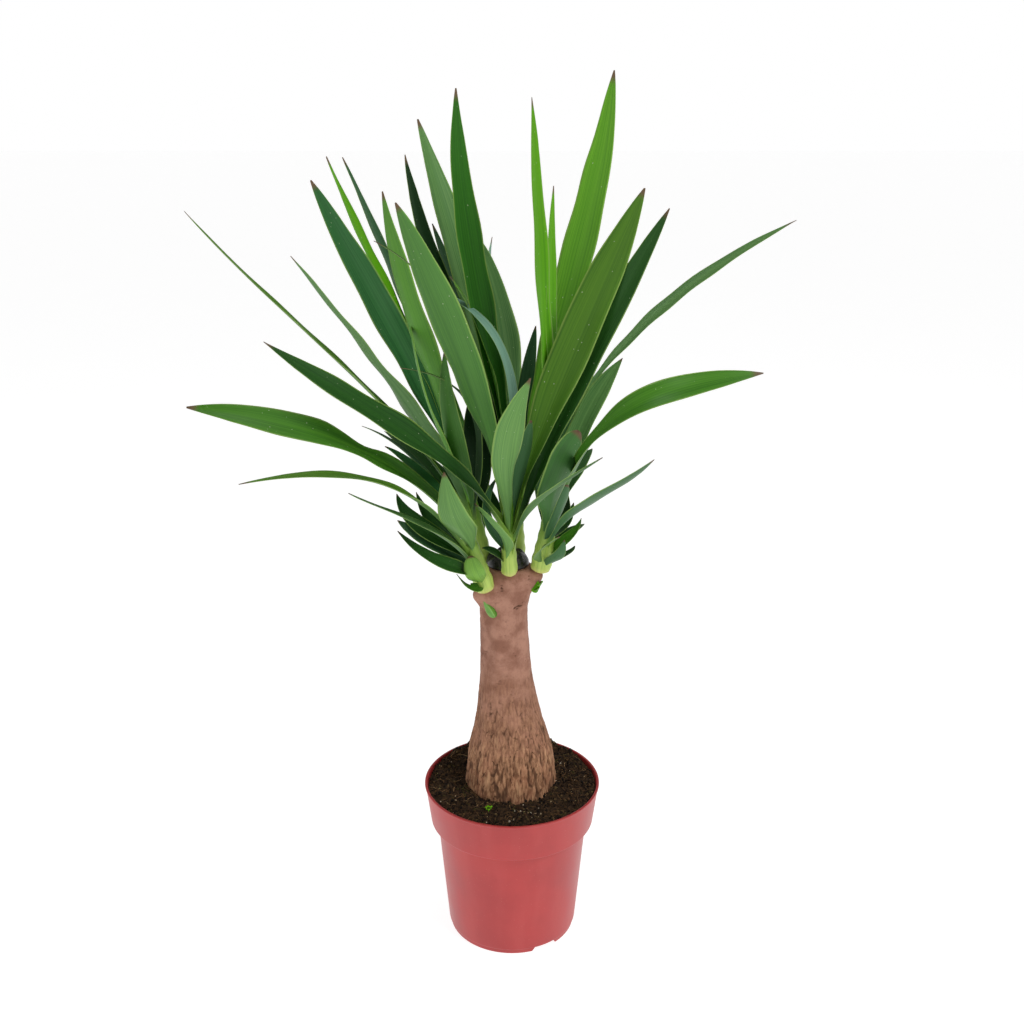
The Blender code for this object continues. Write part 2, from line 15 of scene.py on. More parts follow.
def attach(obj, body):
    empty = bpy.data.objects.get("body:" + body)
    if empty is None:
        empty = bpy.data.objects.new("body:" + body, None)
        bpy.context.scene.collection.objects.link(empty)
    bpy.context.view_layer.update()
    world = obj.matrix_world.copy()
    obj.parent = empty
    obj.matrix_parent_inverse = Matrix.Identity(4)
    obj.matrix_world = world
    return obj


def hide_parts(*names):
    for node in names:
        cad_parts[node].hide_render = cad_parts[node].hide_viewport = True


MM = 0.001

# Camera
CAMERA_PLACE = (0.0, -1.035, 0.770)
CAMERA_TILT = 71.85
CAMERA_LENS = 42.19

# Pot
RIM_RADIUS = 85.0
POT_HEIGHT = 156.0
COLLAR_BOTTOM = 117.0
COLLAR_RADIUS = 79.3
STEP_HEIGHT = 3.5
WALL_TOP_RADIUS = 72.8
WALL_BOTTOM_RADIUS = 63.2
FOOT_RADIUS = 62.0
FOOT_WIDTH = 3.0
FOOT_HEIGHT = 4.5
WALL_THICKNESS = 1.5
FLOOR_TOP = 6.5
BEAD_HEIGHT = 2.0
BEAD_WIDTH = 0.8
POT_SIDES = 192
NOTCH_COUNT = 3
NOTCH_BEARING = -59.0
NOTCH_WIDTH = 27.0
NOTCH_SLOPE = 3.0
DRAIN_COUNT = 6
DRAIN_RADIUS = 4.0
DRAIN_CIRCLE = 38.0

# Soil
SOIL_GAP = 0.3
SOIL_EDGE = 151.5
SOIL_MOUND = 8.0
MOUND_POWER = 0.8
SOIL_BUMP = 2.2
BACK_HEAP = 7.0
SOIL_SIDES = 220
SOIL_RINGS = 60
SOIL_HOLE = 38.0
SOIL_CRUMB = 1.1
CRUMB_COUNT = 1500
FIBRE_COUNT = 900
CHIP_COUNT = 60
SOIL_CLUMPS = ((-39, 66, 8), (40, 67, 6.5), (60, 56, 6), (-56, 54, 6), (-20, 76, 5), (20, 76, 5))
PALE_PATCH = (9.0, -62.0)
SEEDLING_PLACE = (-22.0, -56.0)

# Trunk: height, radius and sideways place of its centre
TRUNK_PROFILE = (
    (36, 30, 0), (52, 40, 0), (90, 46, 0), (130, 46, 0), (160, 43.5, -1), (180, 41.5, -1.5),
    (198, 38.5, -2), (224, 32, -3), (250, 27.5, -4.5), (275, 24.3, -5.7), (300, 23, -6.6),
    (324, 22.2, -7.5), (337, 22.2, -7.8), (349, 23.5, -7), (362, 24.5, -5.5), (373, 24, -4.5),
    (380, 20.5, -4),
)
TRUNK_TOP = 380.0
TRUNK_SIDES = 256
TRUNK_LEVELS = 330
SHOULDERS = ((205, 354, 6.5), (232, 358, 4.5), (350, 370, 9.5), (135, 364, 5.0), (70, 366, 4.5))
SHOULDER_TURN = 26.0
SHOULDER_HEIGHT = 10.0
FIBROUS_BELOW = 290.0

# Wax on the cut
WAX_RADIUS = 19.0
WAX_HEIGHT = 14.0
WAX_SIDES = 72
WAX_CENTRE = (-4.0, 1.0)
WAX_SHAPE = ((0, 0), (1.0, 0.0), (1.04, 0.12), (1.02, 0.28), (0.96, 0.45), (0.86, 0.62),
             (0.7, 0.78), (0.5, 0.86), (0.28, 0.9), (0.1, 0.9), (0, 0.9))

# Each head: its stem's base and top, and the radius at each
HEADS = {
    "head_left": ((-22.7, -19.2, 359.2), (-47, -34, 446), 9.5, 5.0),
    "head_middle": ((-2, -22, 376), (-4, -30, 452), 7.5, 4.5),
    "head_right": ((25, -10, 374), (38, -12, 452), 10.0, 5.5),
    "head_back_left": ((-25, 12, 368), (-40, 22, 446), 9.5, 5.0),
    "head_back": ((3, 21, 372), (4, 34, 450), 9.5, 5.0),
}

# Colours of the blades
TONES = {
    "bright": (80, 146, 8),
    "fresh": (84, 142, 34),
    "mid": (62, 116, 30),
    "olive": (72, 116, 32),
    "deep": (38, 96, 16),
    "dark": (34, 76, 26),
    "night": (22, 54, 22),
    "blue": (42, 94, 48),
    "slate": (50, 88, 56),
    "grey": (84, 126, 70),
    "pale": (94, 142, 66),
    "silver": (112, 152, 136),
    "stub": (112, 162, 52),
    "dry": (112, 104, 84),
}

# A leaf is one row: root height on the stem, bearing, lean from upright, length, bow,
# sway, width, roll, twist and tone, in millimetres and degrees. Bearing 0 is +X.
LEAVES = {
    "head_left": (
        (62, 203, 59.4, 271, 42, 61, 27, -40, 0, "mid"),
        (35, 224, 62.7, 265, 56, 38, 13, -15, 0, "olive"),
        (21, 227, 53.3, 184, 5, -19, 12, -28, 0, "grey"),
        (37, 247, 32, 115, -44, 15, 28, 15, 0, "pale"),
        (8, 243, 35, 46, -26, 14, 19, 30, 0, "stub"),
        (6, 195, 52, 100, 0, 70, 16, -30, 0, "dark"),
        (9, 172, 53.5, 98, -2, -3, 18, -35, 0, "slate"),
        (21, 158, 51.2, 106, -15, 15, 18, -30, 0, "dark"),
        (27, 142, 52, 94, -36, -14, 16, -5, 0, "dark"),
        (5, 198, 57, 32, -6, 44, 12, -10, 0, "mid"),
        (46, 160, 43.3, 122, 12, -9, 18, -5, 0, "blue"),
        (41, 157, 45.5, 155, 16, -28, 11, 10, 0, "slate"),
    ),
    "head_middle": (
        (46, 6, 21.0, 315, 2, 7, 36, 60, 0, "olive"),
        (22, 355, 23.3, 330, 7, 23, 26, 60, 0, "dark"),
        (31, 323, 44.5, 138, 2, -54, 11, -12, 0, "grey"),
        (34, 284, 24, 180, -34, -36, 28, 12, 0, "pale"),
        (38, 328, 11.5, 114, 3, 5, 24, -15, 0, "blue"),
        (70, 210, 20.8, 281, 3, 10, 31, 45, 0, "mid"),
        (50, 195, 23.8, 275, 68, 4, 10, -8, 0, "night"),
        (42, 206, 47.8, 282, 4, 54, 27, -42, 0, "dark"),
        (14, 148, 9.5, 79, 3, 60, 14, 0, 0, "slate"),
        (13, 234, 35.3, 86, -18, 48, 12, 0, 0, "pale"),
        (8, 204, 47.5, 36, 6, 0, 10, -35, 0, "dark"),
    ),
    "head_right": (
        (63, 161, 3.3, 351, 0, 1, 20, -18, 0, "bright"),
        (63, 91, 4.2, 281, 0, 5, 16, 50, 0, "bright"),
        (66, 345, 53.6, 221, 87, -227, 23, 35, 50, "mid"),
        (54, 41, 33.1, 162, 9, 9, 26, 10, 0, "grey"),
        (30, 320, 18.2, 117, -31, -76, 33, -10, 0, "deep"),
        (20, 300, 51.4, 206, -9, -19, 16, -6, 0, "blue"),
        (7, 290, 45.2, 63, -9, -32, 12, 35, 0, "olive"),
        (25, 60, 39, 63, -50, 8, 16, 0, 0, "night"),
        (22, 61, 63.5, 68, -24, 4, 14, 0, 0, "dark"),
        (12, 2, 40, 55, -5, -20, 14, 20, 0, "mid"),
        (3, 307, 40.5, 53, -16, -5, 13, -30, 0, "blue"),
        (2, 28, 62, 42, 0, -10, 10, 0, 0, "dark"),
        (20, 320, 20.3, 76, -12, -12, 17, 0, 0, "blue"),
        (34, 66, 64, 130, 15, 0, 20, 0, 0, "dark"),
        (30, 90, 30, 110, 10, 0, 22, 0, 0, "dark"),
        (20, 75, 62, 150, 15, 0, 20, 0, 0, "mid"),
        (8, 50, 70, 70, 8, 0, 15, 0, 0, "dark"),
    ),
    "head_back_left": (
        (58, 200, 14.8, 298, -24, 47, 27, 30, 0, "bright"),
        (56, 180, 24.4, 327, 1, -9, 30, -50, 0, "blue"),
        (56, 162, 22.9, 343, -1, 1, 22, 0, 0, "bright"),
        (52, 150, 23, 346, 5, -6, 20, 10, 0, "slate"),
        (40, 192, 39.3, 377, -4, -9, 14, -6, 0, "olive"),
        (38, 202, 31.6, 304, 10, -20, 24, 28, 0, "grey"),
        (37, 221, 26.3, 186, 77, 40, 14, -10, 0, "night"),
        (52, 200, 16.7, 198, -45, 113, 18, -12, 0, "bright"),
        (44, 230, 12.8, 174, -60, 40, 20, 15, 0, "mid"),
        (36, 101, 17.4, 127, -3, -7, 28, 0, 0, "night"),
        (48, 122, 44, 255, 15, 0, 26, 0, 0, "dark"),
        (38, 108, 52, 210, 22, 0, 24, 0, 0, "mid"),
        (26, 135, 58, 160, 22, 0, 22, 0, 0, "dark"),
        (14, 125, 66, 130, 15, 0, 18, 0, 0, "dark"),
        (12, 98, 66, 92, 8, 0, 15, 0, 0, "mid"),
    ),
    "head_back": (
        (44, 24, 13.2, 405, -14, -5, 31, 45, 0, "fresh"),
        (58, 22, 49.2, 381, 4, 98, 19, 10, 0, "grey"),
        (54, 167, 8.1, 373, -16, 15, 25, -52, 0, "deep"),
        (60, 145, 17.6, 355, 6, -1, 31, -15, 0, "grey"),
        (57, 158, 18.7, 329, -16, 9, 24, -15, 0, "night"),
        (50, 140, 21.3, 276, 5, -4, 24, 5, 0, "slate"),
        (50, 120, 17.3, 262, -47, -58, 28, -5, 0, "grey"),
        (40, 99, 30.7, 288, 0, 24, 22, 62, 0, "silver"),
        (50, 66, 15, 173, 0, 4, 17, 0, 0, "slate"),
        (60, 160, 21.6, 206, 112, 72, 16, -8, 0, "silver"),
        (50, 180, 14.9, 225, 26, -2, 26, -5, 0, "bright"),
        (38, 118, 47, 244, 22, 0, 25, 0, 0, "mid"),
        (28, 60, 58, 200, 25, 0, 24, 0, 0, "dark"),
        (24, 95, 59, 186, 25, 0, 22, 0, 0, "mid"),
        (16, 130, 60, 170, 20, 0, 20, 0, 0, "dark"),
        (10, 85, 74, 120, 15, 0, 18, 0, 0, "dark"),
    ),
}

# Small growths on the trunk: a bud in front and a sprout of two leaflets to the right
BUD = ((-17.0, -21.0, 338), (-26.0, -22.0, 353), 3.8)
SPROUT_HEAD = ((19, -10, 357), (25, -14, 367), 3.8, 2.4)
SPROUT_LEAVES = (
    (7, 325, 42, 10, -2, 0, 7, 20, 0, "bright"),
    (3, 300, 62, 9, -2, 0, 6, 20, 0, "mid"),
)

# Width of a blade along its length, as a share of its full width: most blades are widest
# past their middle, and a few are seen with a waist, a long neck, a thin end or a round end
BLADE = ((0, 0.55), (0.07, 0.46), (0.15, 0.36), (0.3, 0.66), (0.45, 0.93), (0.6, 1.0),
         (0.75, 0.86), (0.88, 0.54), (0.96, 0.24), (1.0, 0.04))
WAISTED = ((0, 0.5), (0.15, 0.55), (0.3, 0.66), (0.42, 0.66), (0.49, 0.5), (0.57, 0.74),
           (0.65, 0.97), (0.75, 1.0), (0.88, 0.68), (0.96, 0.3), (1.0, 0.04))
NECKED = ((0, 0.5), (0.15, 0.32), (0.38, 0.46), (0.5, 0.72), (0.63, 1.0), (0.76, 0.94),
          (0.88, 0.6), (0.96, 0.26), (1.0, 0.04))
TAILED = ((0, 0.6), (0.12, 0.5), (0.28, 0.9), (0.42, 1.0), (0.55, 0.66), (0.72, 0.4),
          (0.88, 0.26), (0.96, 0.14), (1.0, 0.04))
LATE = ((0, 0.55), (0.15, 0.5), (0.3, 0.62), (0.45, 0.68), (0.6, 0.88), (0.74, 1.0),
        (0.88, 0.7), (0.96, 0.32), (1.0, 0.04))
ROUND = ((0, 0.6), (0.1, 0.5), (0.2, 0.55), (0.45, 0.9), (0.75, 1.0), (0.92, 0.8),
         (0.98, 0.45), (1.0, 0.16))
SPOON = ((0, 0.42), (0.2, 0.3), (0.38, 0.4), (0.52, 0.75), (0.66, 1.0), (0.82, 0.97),
         (0.93, 0.7), (0.98, 0.4), (1.0, 0.14))
ODD_SHAPES = {
    ("head_left", 0): WAISTED, ("head_left", 2): TAILED, ("head_middle", 3): NECKED,
    ("head_right", 2): LATE, ("head_right", 4): SPOON, ("head_right", 12): ROUND,
    ("head_back_left", 5): TAILED, ("head_back", 1): NECKED, ("head_left", 4): ROUND,
    ("head_right", 6): ROUND,
}

# How far the halves of a blade fold up from its middle, in degrees
FOLD_SHAPE = ((0, 62), (0.15, 50), (0.35, 24), (0.6, 13), (1.0, 6))
START_STEEPNESS = 0.42
ROOT_OFFSET = 2.5
BLADE_STATIONS = 46
BLADE_ACROSS = 10
BASE_THICKNESS = 1.6
TIP_THICKNESS = 0.5
EDGE_THICKNESS = 0.3


def linear(colour):
    """A screen colour as Blender's linear red, green, blue and alpha."""
    shares = [c / 255 for c in colour]
    return (*[c / 12.92 if c <= 0.04045 else ((c + 0.055) / 1.055) ** 2.4 for c in shares], 1.0)


class Shade:
    """Builds the nodes of one material round its Principled shader."""

    def __init__(self, name, roughness, specular=0.5):
        self.material = bpy.data.materials.new(name)
        self.material.use_nodes = True
        self.tree = self.material.node_tree
        self.shader = self.tree.nodes["Principled BSDF"]
        self.put("Roughness", roughness)
        self.put("Specular IOR Level", specular)

    def put(self, socket, value):
        if isinstance(value, bpy.types.NodeSocket):
            self.tree.links.new(value, self.shader.inputs[socket])
        else:
            self.shader.inputs[socket].default_value = value

    def node(self, kind, inputs, **settings):
        made = self.tree.nodes.new("ShaderNode" + kind)
        for key, value in settings.items():
            setattr(made, key, value)
        for key, value in inputs.items():
            if isinstance(value, bpy.types.NodeSocket):
                self.tree.links.new(value, made.inputs[key])
            else:
                made.inputs[key].default_value = value
        return made

    def maths(self, operation, first, second=0.0, third=0.0):
        inputs = {0: first, 1: second, 2: third}
        return self.node("Math", inputs, operation=operation).outputs[0]

    def join(self, x, y, z=0.0):
        return self.node("CombineXYZ", {0: x, 1: y, 2: z}).outputs[0]

    def split(self, vector):
        return self.node("SeparateXYZ", {0: vector}).outputs

    def mix(self, share, first, second, blend="MIX"):
        made = self.node("Mix", {}, data_type="RGBA", blend_type=blend)
        for index, value in ((0, share), (6, first), (7, second)):
            if isinstance(value, bpy.types.NodeSocket):
                self.tree.links.new(value, made.inputs[index])
            else:
                made.inputs[index].default_value = value
        return made.outputs[2]

    def span(self, value, low, high, to_low=0.0, to_high=1.0, smooth=True):
        """Maps a value from one range to another, held at its ends."""
        kind = "SMOOTHSTEP" if smooth else "LINEAR"
        inputs = {0: value, 1: low, 2: high, 3: to_low, 4: to_high}
        return self.node("MapRange", inputs, interpolation_type=kind).outputs[0]

    def noise(self, vector, scale, detail=2.0, roughness=0.5, distortion=0.0):
        inputs = {"Vector": vector, "Scale": scale, "Detail": detail,
                  "Roughness": roughness, "Distortion": distortion}
        return self.node("TexNoise", inputs).outputs[0]

    def spots(self, vector, scale, size):
        """One small round spot in some cells of a random grid."""
        cells = self.node("TexVoronoi", {"Vector": vector, "Scale": scale})
        near = self.span(cells.outputs["Distance"], size, size * 0.5)
        chosen = self.span(self.split(cells.outputs["Color"])[0], 0.72, 0.78)
        return self.maths("MULTIPLY", near, chosen)

    def place(self):
        return self.node("TexCoord", {}).outputs["Object"]

    def attribute(self, name):
        return self.node("Attribute", {}, attribute_name=name).outputs

    def bump(self, height, strength, distance):
        made = self.node("Bump", {"Height": height, "Strength": strength, "Distance": distance})
        self.put("Normal", made.outputs[0])


def plastic_material():
    """Moulded red plastic: faint cloudiness, fine grain, a soft sheen and pale upright streaks of painted
    highlight.
    """
    shade = Shade("pot_plastic", 0.36, 0.5)
    place = shade.place()
    cloud = shade.noise(place, 18.0, 4.0, 0.55)
    base = shade.mix(shade.span(cloud, 0.3, 0.7), linear((172, 50, 50)), linear((186, 58, 57)))
    x, y, z = shade.split(place)
    # Pale upright streaks mixed into the colour are painted highlights.
    turns = shade.join(shade.maths("MULTIPLY", x, 1.0), y, shade.maths("MULTIPLY", z, 0.25))
    painted_highlight_streak = shade.span(shade.noise(turns, 60.0, 3.0), 0.42, 0.75)
    base = shade.mix(shade.maths("MULTIPLY", painted_highlight_streak, 0.18), base, linear((200, 84, 80)))
    dust = shade.spots(place, 420.0, 0.16)
    base = shade.mix(shade.maths("MULTIPLY", dust, 0.25), base, linear((214, 150, 140)))
    shade.put("Base Color", base)
    shade.put("Roughness", shade.span(cloud, 0.3, 0.7, 0.34, 0.44))
    grain = shade.noise(place, 1600.0, 2.0)
    shade.bump(shade.maths("ADD", grain, shade.maths("MULTIPLY", cloud, 6.0)), 0.12, 0.0002)
    return shade.material


def leaf_material():
    """A satin blade: fine long veins, a pale thin edge, a pale base and a brown tip."""
    shade = Shade("leaf", 0.45, 0.16)
    uv = shade.node("UVMap", {}, uv_map="blade").outputs[0]
    across, along, _ = shade.split(uv)
    tone = shade.attribute("tone")
    seed = shade.maths("MULTIPLY", tone["Alpha"], 37.0)
    under = shade.attribute("under")["Fac"]
    off = shade.maths("ABSOLUTE", shade.maths("MULTIPLY_ADD", across, 2.0, -1.0))
    lines = shade.join(shade.maths("MULTIPLY", across, 30.0), shade.maths("MULTIPLY", along, 1.3), seed)
    vein = shade.noise(lines, 1.0, 3.0, 0.6)
    bands = shade.join(shade.maths("MULTIPLY", across, 4.0), shade.maths("MULTIPLY", along, 2.2), seed)
    patch = shade.noise(bands, 1.0, 2.0)
    base = tone["Color"]
    lighter = shade.mix(1.0, base, (1.4, 1.26, 1.2, 1.0), "MULTIPLY")
    darker = shade.mix(1.0, base, (0.62, 0.72, 0.66, 1.0), "MULTIPLY")
    base = shade.mix(shade.span(vein, 0.3, 0.7), darker, lighter)
    base = shade.mix(shade.span(patch, 0.35, 0.7, 0.0, 0.4), base, lighter)
    rib = shade.span(off, 0.09, 0.0, 0.0, 0.3)
    base = shade.mix(rib, base, lighter)
    base = shade.mix(shade.maths("MULTIPLY", under, 0.25), base, linear((110, 140, 104)))
    edge = shade.span(off, 0.88, 0.98, 0.0, 0.6)
    base = shade.mix(edge, base, linear((158, 190, 98)))
    root = shade.span(along, 0.02, 0.17, 0.85, 0.0)
    base = shade.mix(root, base, linear((150, 194, 72)))
    speck = shade.spots(shade.join(shade.maths("MULTIPLY", across, 8.0),
                                   shade.maths("MULTIPLY", along, 60.0), seed), 1.0, 0.12)
    base = shade.mix(shade.maths("MULTIPLY", speck, 0.6), base, linear((214, 224, 190)))
    tip = shade.span(along, 0.965, 0.99)
    base = shade.mix(tip, base, linear((104, 84, 62)))
    shade.put("Base Color", base)
    shade.put("Roughness", shade.maths("MULTIPLY_ADD", vein, 0.16, 0.38))
    shade.bump(vein, 0.35, 0.0003)
    return shade.material


def stem_material():
    """The pale sheaths at the foot of a head, yellower below."""
    shade = Shade("stem", 0.42, 0.35)
    uv = shade.node("UVMap", {}, uv_map="blade").outputs[0]
    across, along, _ = shade.split(uv)
    lines = shade.join(shade.maths("MULTIPLY", across, 46.0), shade.maths("MULTIPLY", along, 2.0))
    vein = shade.noise(lines, 1.0, 3.0)
    high = shade.span(along, 0.1, 0.8)
    base = shade.mix(high, linear((188, 212, 104)), linear((110, 164, 50)))
    base = shade.mix(shade.span(vein, 0.35, 0.75, 0.0, 0.45), base, linear((84, 140, 40)))
    foot = shade.span(along, 0.0, 0.1, 0.7, 0.0)
    base = shade.mix(foot, base, linear((206, 196, 120)))
    shade.put("Base Color", base)
    shade.bump(vein, 0.35, 0.0004)
    return shade.material


def bark_material():
    """Corky bark: reddish and smoother above, fibrous and cracked below, with painted highlight on its ridges and
    painted shade in its cracks.
    """
    shade = Shade("bark", 0.86, 0.25)
    place = shade.place()
    x, y, z = shade.split(place)
    relief = shade.attribute("relief")["Fac"]
    fibrous = shade.attribute("fibrous")["Fac"]
    long_way = shade.join(x, y, shade.maths("MULTIPLY", z, 0.22))
    fibre = shade.noise(long_way, 420.0, 5.0, 0.65, 0.4)
    patch = shade.noise(place, 55.0, 4.0, 0.6)
    grain = shade.noise(place, 700.0, 4.0, 0.7)
    upper = shade.mix(shade.span(patch, 0.35, 0.68), linear((142, 98, 80)), linear((178, 132, 112)))
    lower = shade.mix(shade.span(fibre, 0.36, 0.66), linear((112, 76, 52)), linear((192, 144, 108)))
    lower = shade.mix(shade.span(patch, 0.4, 0.7, 0.0, 0.5), lower, linear((166, 112, 84)))
    base = shade.mix(fibrous, upper, lower)
    # Painted highlight on the raised relief, and painted shade darkening the cracks.
    base = shade.mix(shade.span(relief, 0.2, 0.9, 0.0, 0.5), base, linear((208, 164, 124)))
    base = shade.mix(shade.span(relief, -0.1, -0.9, 0.0, 0.85), base, linear((74, 48, 32)))
    base = shade.mix(shade.span(grain, 0.56, 0.72, 0.0, 0.35), base, linear((96, 66, 48)))
    shade.put("Base Color", base)
    rough = shade.maths("ADD", shade.maths("MULTIPLY", fibre, 0.7), shade.maths("MULTIPLY", grain, 0.5))
    shade.bump(rough, 0.6, 0.0012)
    return shade.material


def soil_material():
    """Moist peat: dark brown, with lighter crumbs."""
    shade = Shade("soil", 0.92, 0.2)
    place = shade.place()
    crumb = shade.noise(place, 330.0, 5.0, 0.7)
    patch = shade.noise(place, 40.0, 3.0)
    base = shade.mix(shade.span(crumb, 0.38, 0.66), linear((30, 20, 14)), linear((84, 62, 42)))
    base = shade.mix(shade.span(patch, 0.45, 0.7, 0.0, 0.5), base, linear((58, 44, 28)))
    shade.put("Base Color", base)
    shade.bump(crumb, 0.8, 0.0015)
    return shade.material


def toned_material(name, roughness, specular, spread):
    """A rough material that takes each bit's own tone, with a little mottling."""
    shade = Shade(name, roughness, specular)
    tone = shade.attribute("tone")["Color"]
    mottle = shade.noise(shade.place(), 900.0, 3.0, 0.6)
    low, high = 1.0 - spread, 1.0 + spread
    dark = shade.mix(1.0, tone, (low, low, low, 1.0), "MULTIPLY")
    light = shade.mix(1.0, tone, (high, high, high, 1.0), "MULTIPLY")
    shade.put("Base Color", shade.mix(shade.span(mottle, 0.35, 0.65), dark, light))
    shade.bump(mottle, 0.4, 0.0004)
    return shade.material


def wax_material():
    """Black sealing wax, dulled by dust."""
    shade = Shade("wax", 0.34, 0.5)
    place = shade.place()
    dust = shade.noise(place, 260.0, 5.0, 0.7)
    base = shade.mix(shade.span(dust, 0.52, 0.72), linear((20, 19, 20)), linear((74, 62, 58)))
    shade.put("Base Color", base)
    shade.put("Roughness", shade.span(dust, 0.4, 0.7, 0.24, 0.62))
    shade.bump(shade.noise(place, 160.0, 3.0), 0.5, 0.001)
    return shade.material


def floor_material():
    shade = Shade("floor", 0.8, 0.1)
    fine = shade.noise(shade.place(), 3.0, 2.0)
    shade.put("Base Color", shade.mix(fine, linear((150, 150, 150)), linear((156, 156, 156))))
    shade.put("Emission Color", (1.0, 1.0, 1.0, 1.0))
    shade.put("Emission Strength", 0.9)
    return shade.material


def curve_at(table, shares):
    """A smooth curve through a table's points that never overshoots them."""
    xs = np.array([row[0] for row in table], float)
    ys = np.array([row[1] for row in table], float)
    steps = np.diff(xs)
    slopes = np.diff(ys) / steps
    tangents = np.zeros(len(xs))
    same = slopes[:-1] * slopes[1:] > 0
    total = np.where(same, slopes[:-1] + slopes[1:], 1.0)
    tangents[1:-1] = np.where(same, 2 * slopes[:-1] * slopes[1:] / total, 0.0)
    tangents[0], tangents[-1] = slopes[0], slopes[-1]
    shares = np.clip(np.asarray(shares, float), xs[0], xs[-1])
    k = np.clip(np.searchsorted(xs, shares, side="right") - 1, 0, len(steps) - 1)
    h = steps[k]
    t = (shares - xs[k]) / h
    return ((2 * t ** 3 - 3 * t ** 2 + 1) * ys[k] + (t ** 3 - 2 * t ** 2 + t) * h * tangents[k]
            + (3 * t ** 2 - 2 * t ** 3) * ys[k + 1] + (t ** 3 - t ** 2) * h * tangents[k + 1])


class Patchwork:
    """Gathers loose pieces of mesh, with their attributes, for one object."""

    def __init__(self):
        self.points = []
        self.faces = []
        self.uvs = []
        self.tones = []
        self.unders = []

    def add(self, points, faces, uvs=None, tone=(0.0, 0.0, 0.0, 1.0), unders=None):
        start = len(self.points)
        self.points += [tuple(p) for p in points]
        self.faces += [tuple(start + i for i in face) for face in faces]
        self.uvs += uvs if uvs is not None else [(0.0, 0.0)] * len(points)
        self.tones += [tone] * len(points)
        self.unders += unders if unders is not None else [0.0] * len(points)

    def build(self, name, material):
        """The object, with its faces turned outward and shaded smooth."""
        mesh = bpy.data.meshes.new(name)
        mesh.from_pydata([tuple(v * MM for v in p) for p in self.points], [], self.faces)
        layer = mesh.uv_layers.new(name="blade")
        corners = np.empty(len(mesh.loops), dtype=np.int32)
        mesh.loops.foreach_get("vertex_index", corners)
        layer.data.foreach_set("uv", np.array(self.uvs, dtype=np.float32)[corners].ravel())
        tones = mesh.attributes.new("tone", "FLOAT_COLOR", "POINT")
        tones.data.foreach_set("color", np.array(self.tones, dtype=np.float32).ravel())
        under = mesh.attributes.new("under", "FLOAT", "POINT")
        under.data.foreach_set("value", np.array(self.unders, dtype=np.float32))
        return finish_object(name, mesh, material)


def finish_object(name, mesh, material):
    """An object of a mesh, smooth, outward, and riding on the plant's one body."""
    work = bmesh.new()
    work.from_mesh(mesh)
    bmesh.ops.recalc_face_normals(work, faces=work.faces)
    work.to_mesh(mesh)
    work.free()
    mesh.materials.append(material)
    mesh.shade_smooth()
    item = bpy.data.objects.new(name, mesh)
    bpy.context.scene.collection.objects.link(item)
    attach(item, "root")
    return item


def tube_faces(levels, sides, closed=True):
    """Faces of a tube of rings, with both ends closed."""
    faces = []
    for level in range(levels - 1):
        for k in range(sides):
            a = level * sides + k
            b = level * sides + (k + 1) % sides
            faces.append((a, b, b + sides, a + sides))
    if closed:
        faces.append(tuple(reversed(range(sides))))
        faces.append(tuple(range((levels - 1) * sides, levels * sides)))
    return faces


def midline(head, row, shares):
    """Points along a leaf's middle, and the level direction across it."""
    base, top = (np.array(p, float) for p in head[:2])
    root, bearing, lean, length, bow, sway = row[:6]
    stem = (top - base) / np.linalg.norm(top - base)
    turn, tilt = math.radians(bearing), math.radians(lean)
    out = np.array((math.cos(turn), math.sin(turn), 0.0))
    side = np.array((-math.sin(turn), math.cos(turn), 0.0))
    up = np.array((0.0, 0.0, 1.0))
    chord = out * math.sin(tilt) + up * math.cos(tilt)
    rise = up * math.sin(tilt) - out * math.cos(tilt)
    axis = base + stem * root
    start = axis + out * ROOT_OFFSET
    first = axis + length * 0.3 * (chord + rise * math.tan(tilt * START_STEEPNESS))
    second = axis + chord * length * 0.68 + rise * bow + side * sway
    end = axis + chord * length
    u = shares[:, None]
    middle = (1 - u) ** 3 * start + 3 * (1 - u) ** 2 * u * first
    middle += 3 * (1 - u) * u ** 2 * second + u ** 3 * end
    return middle, side


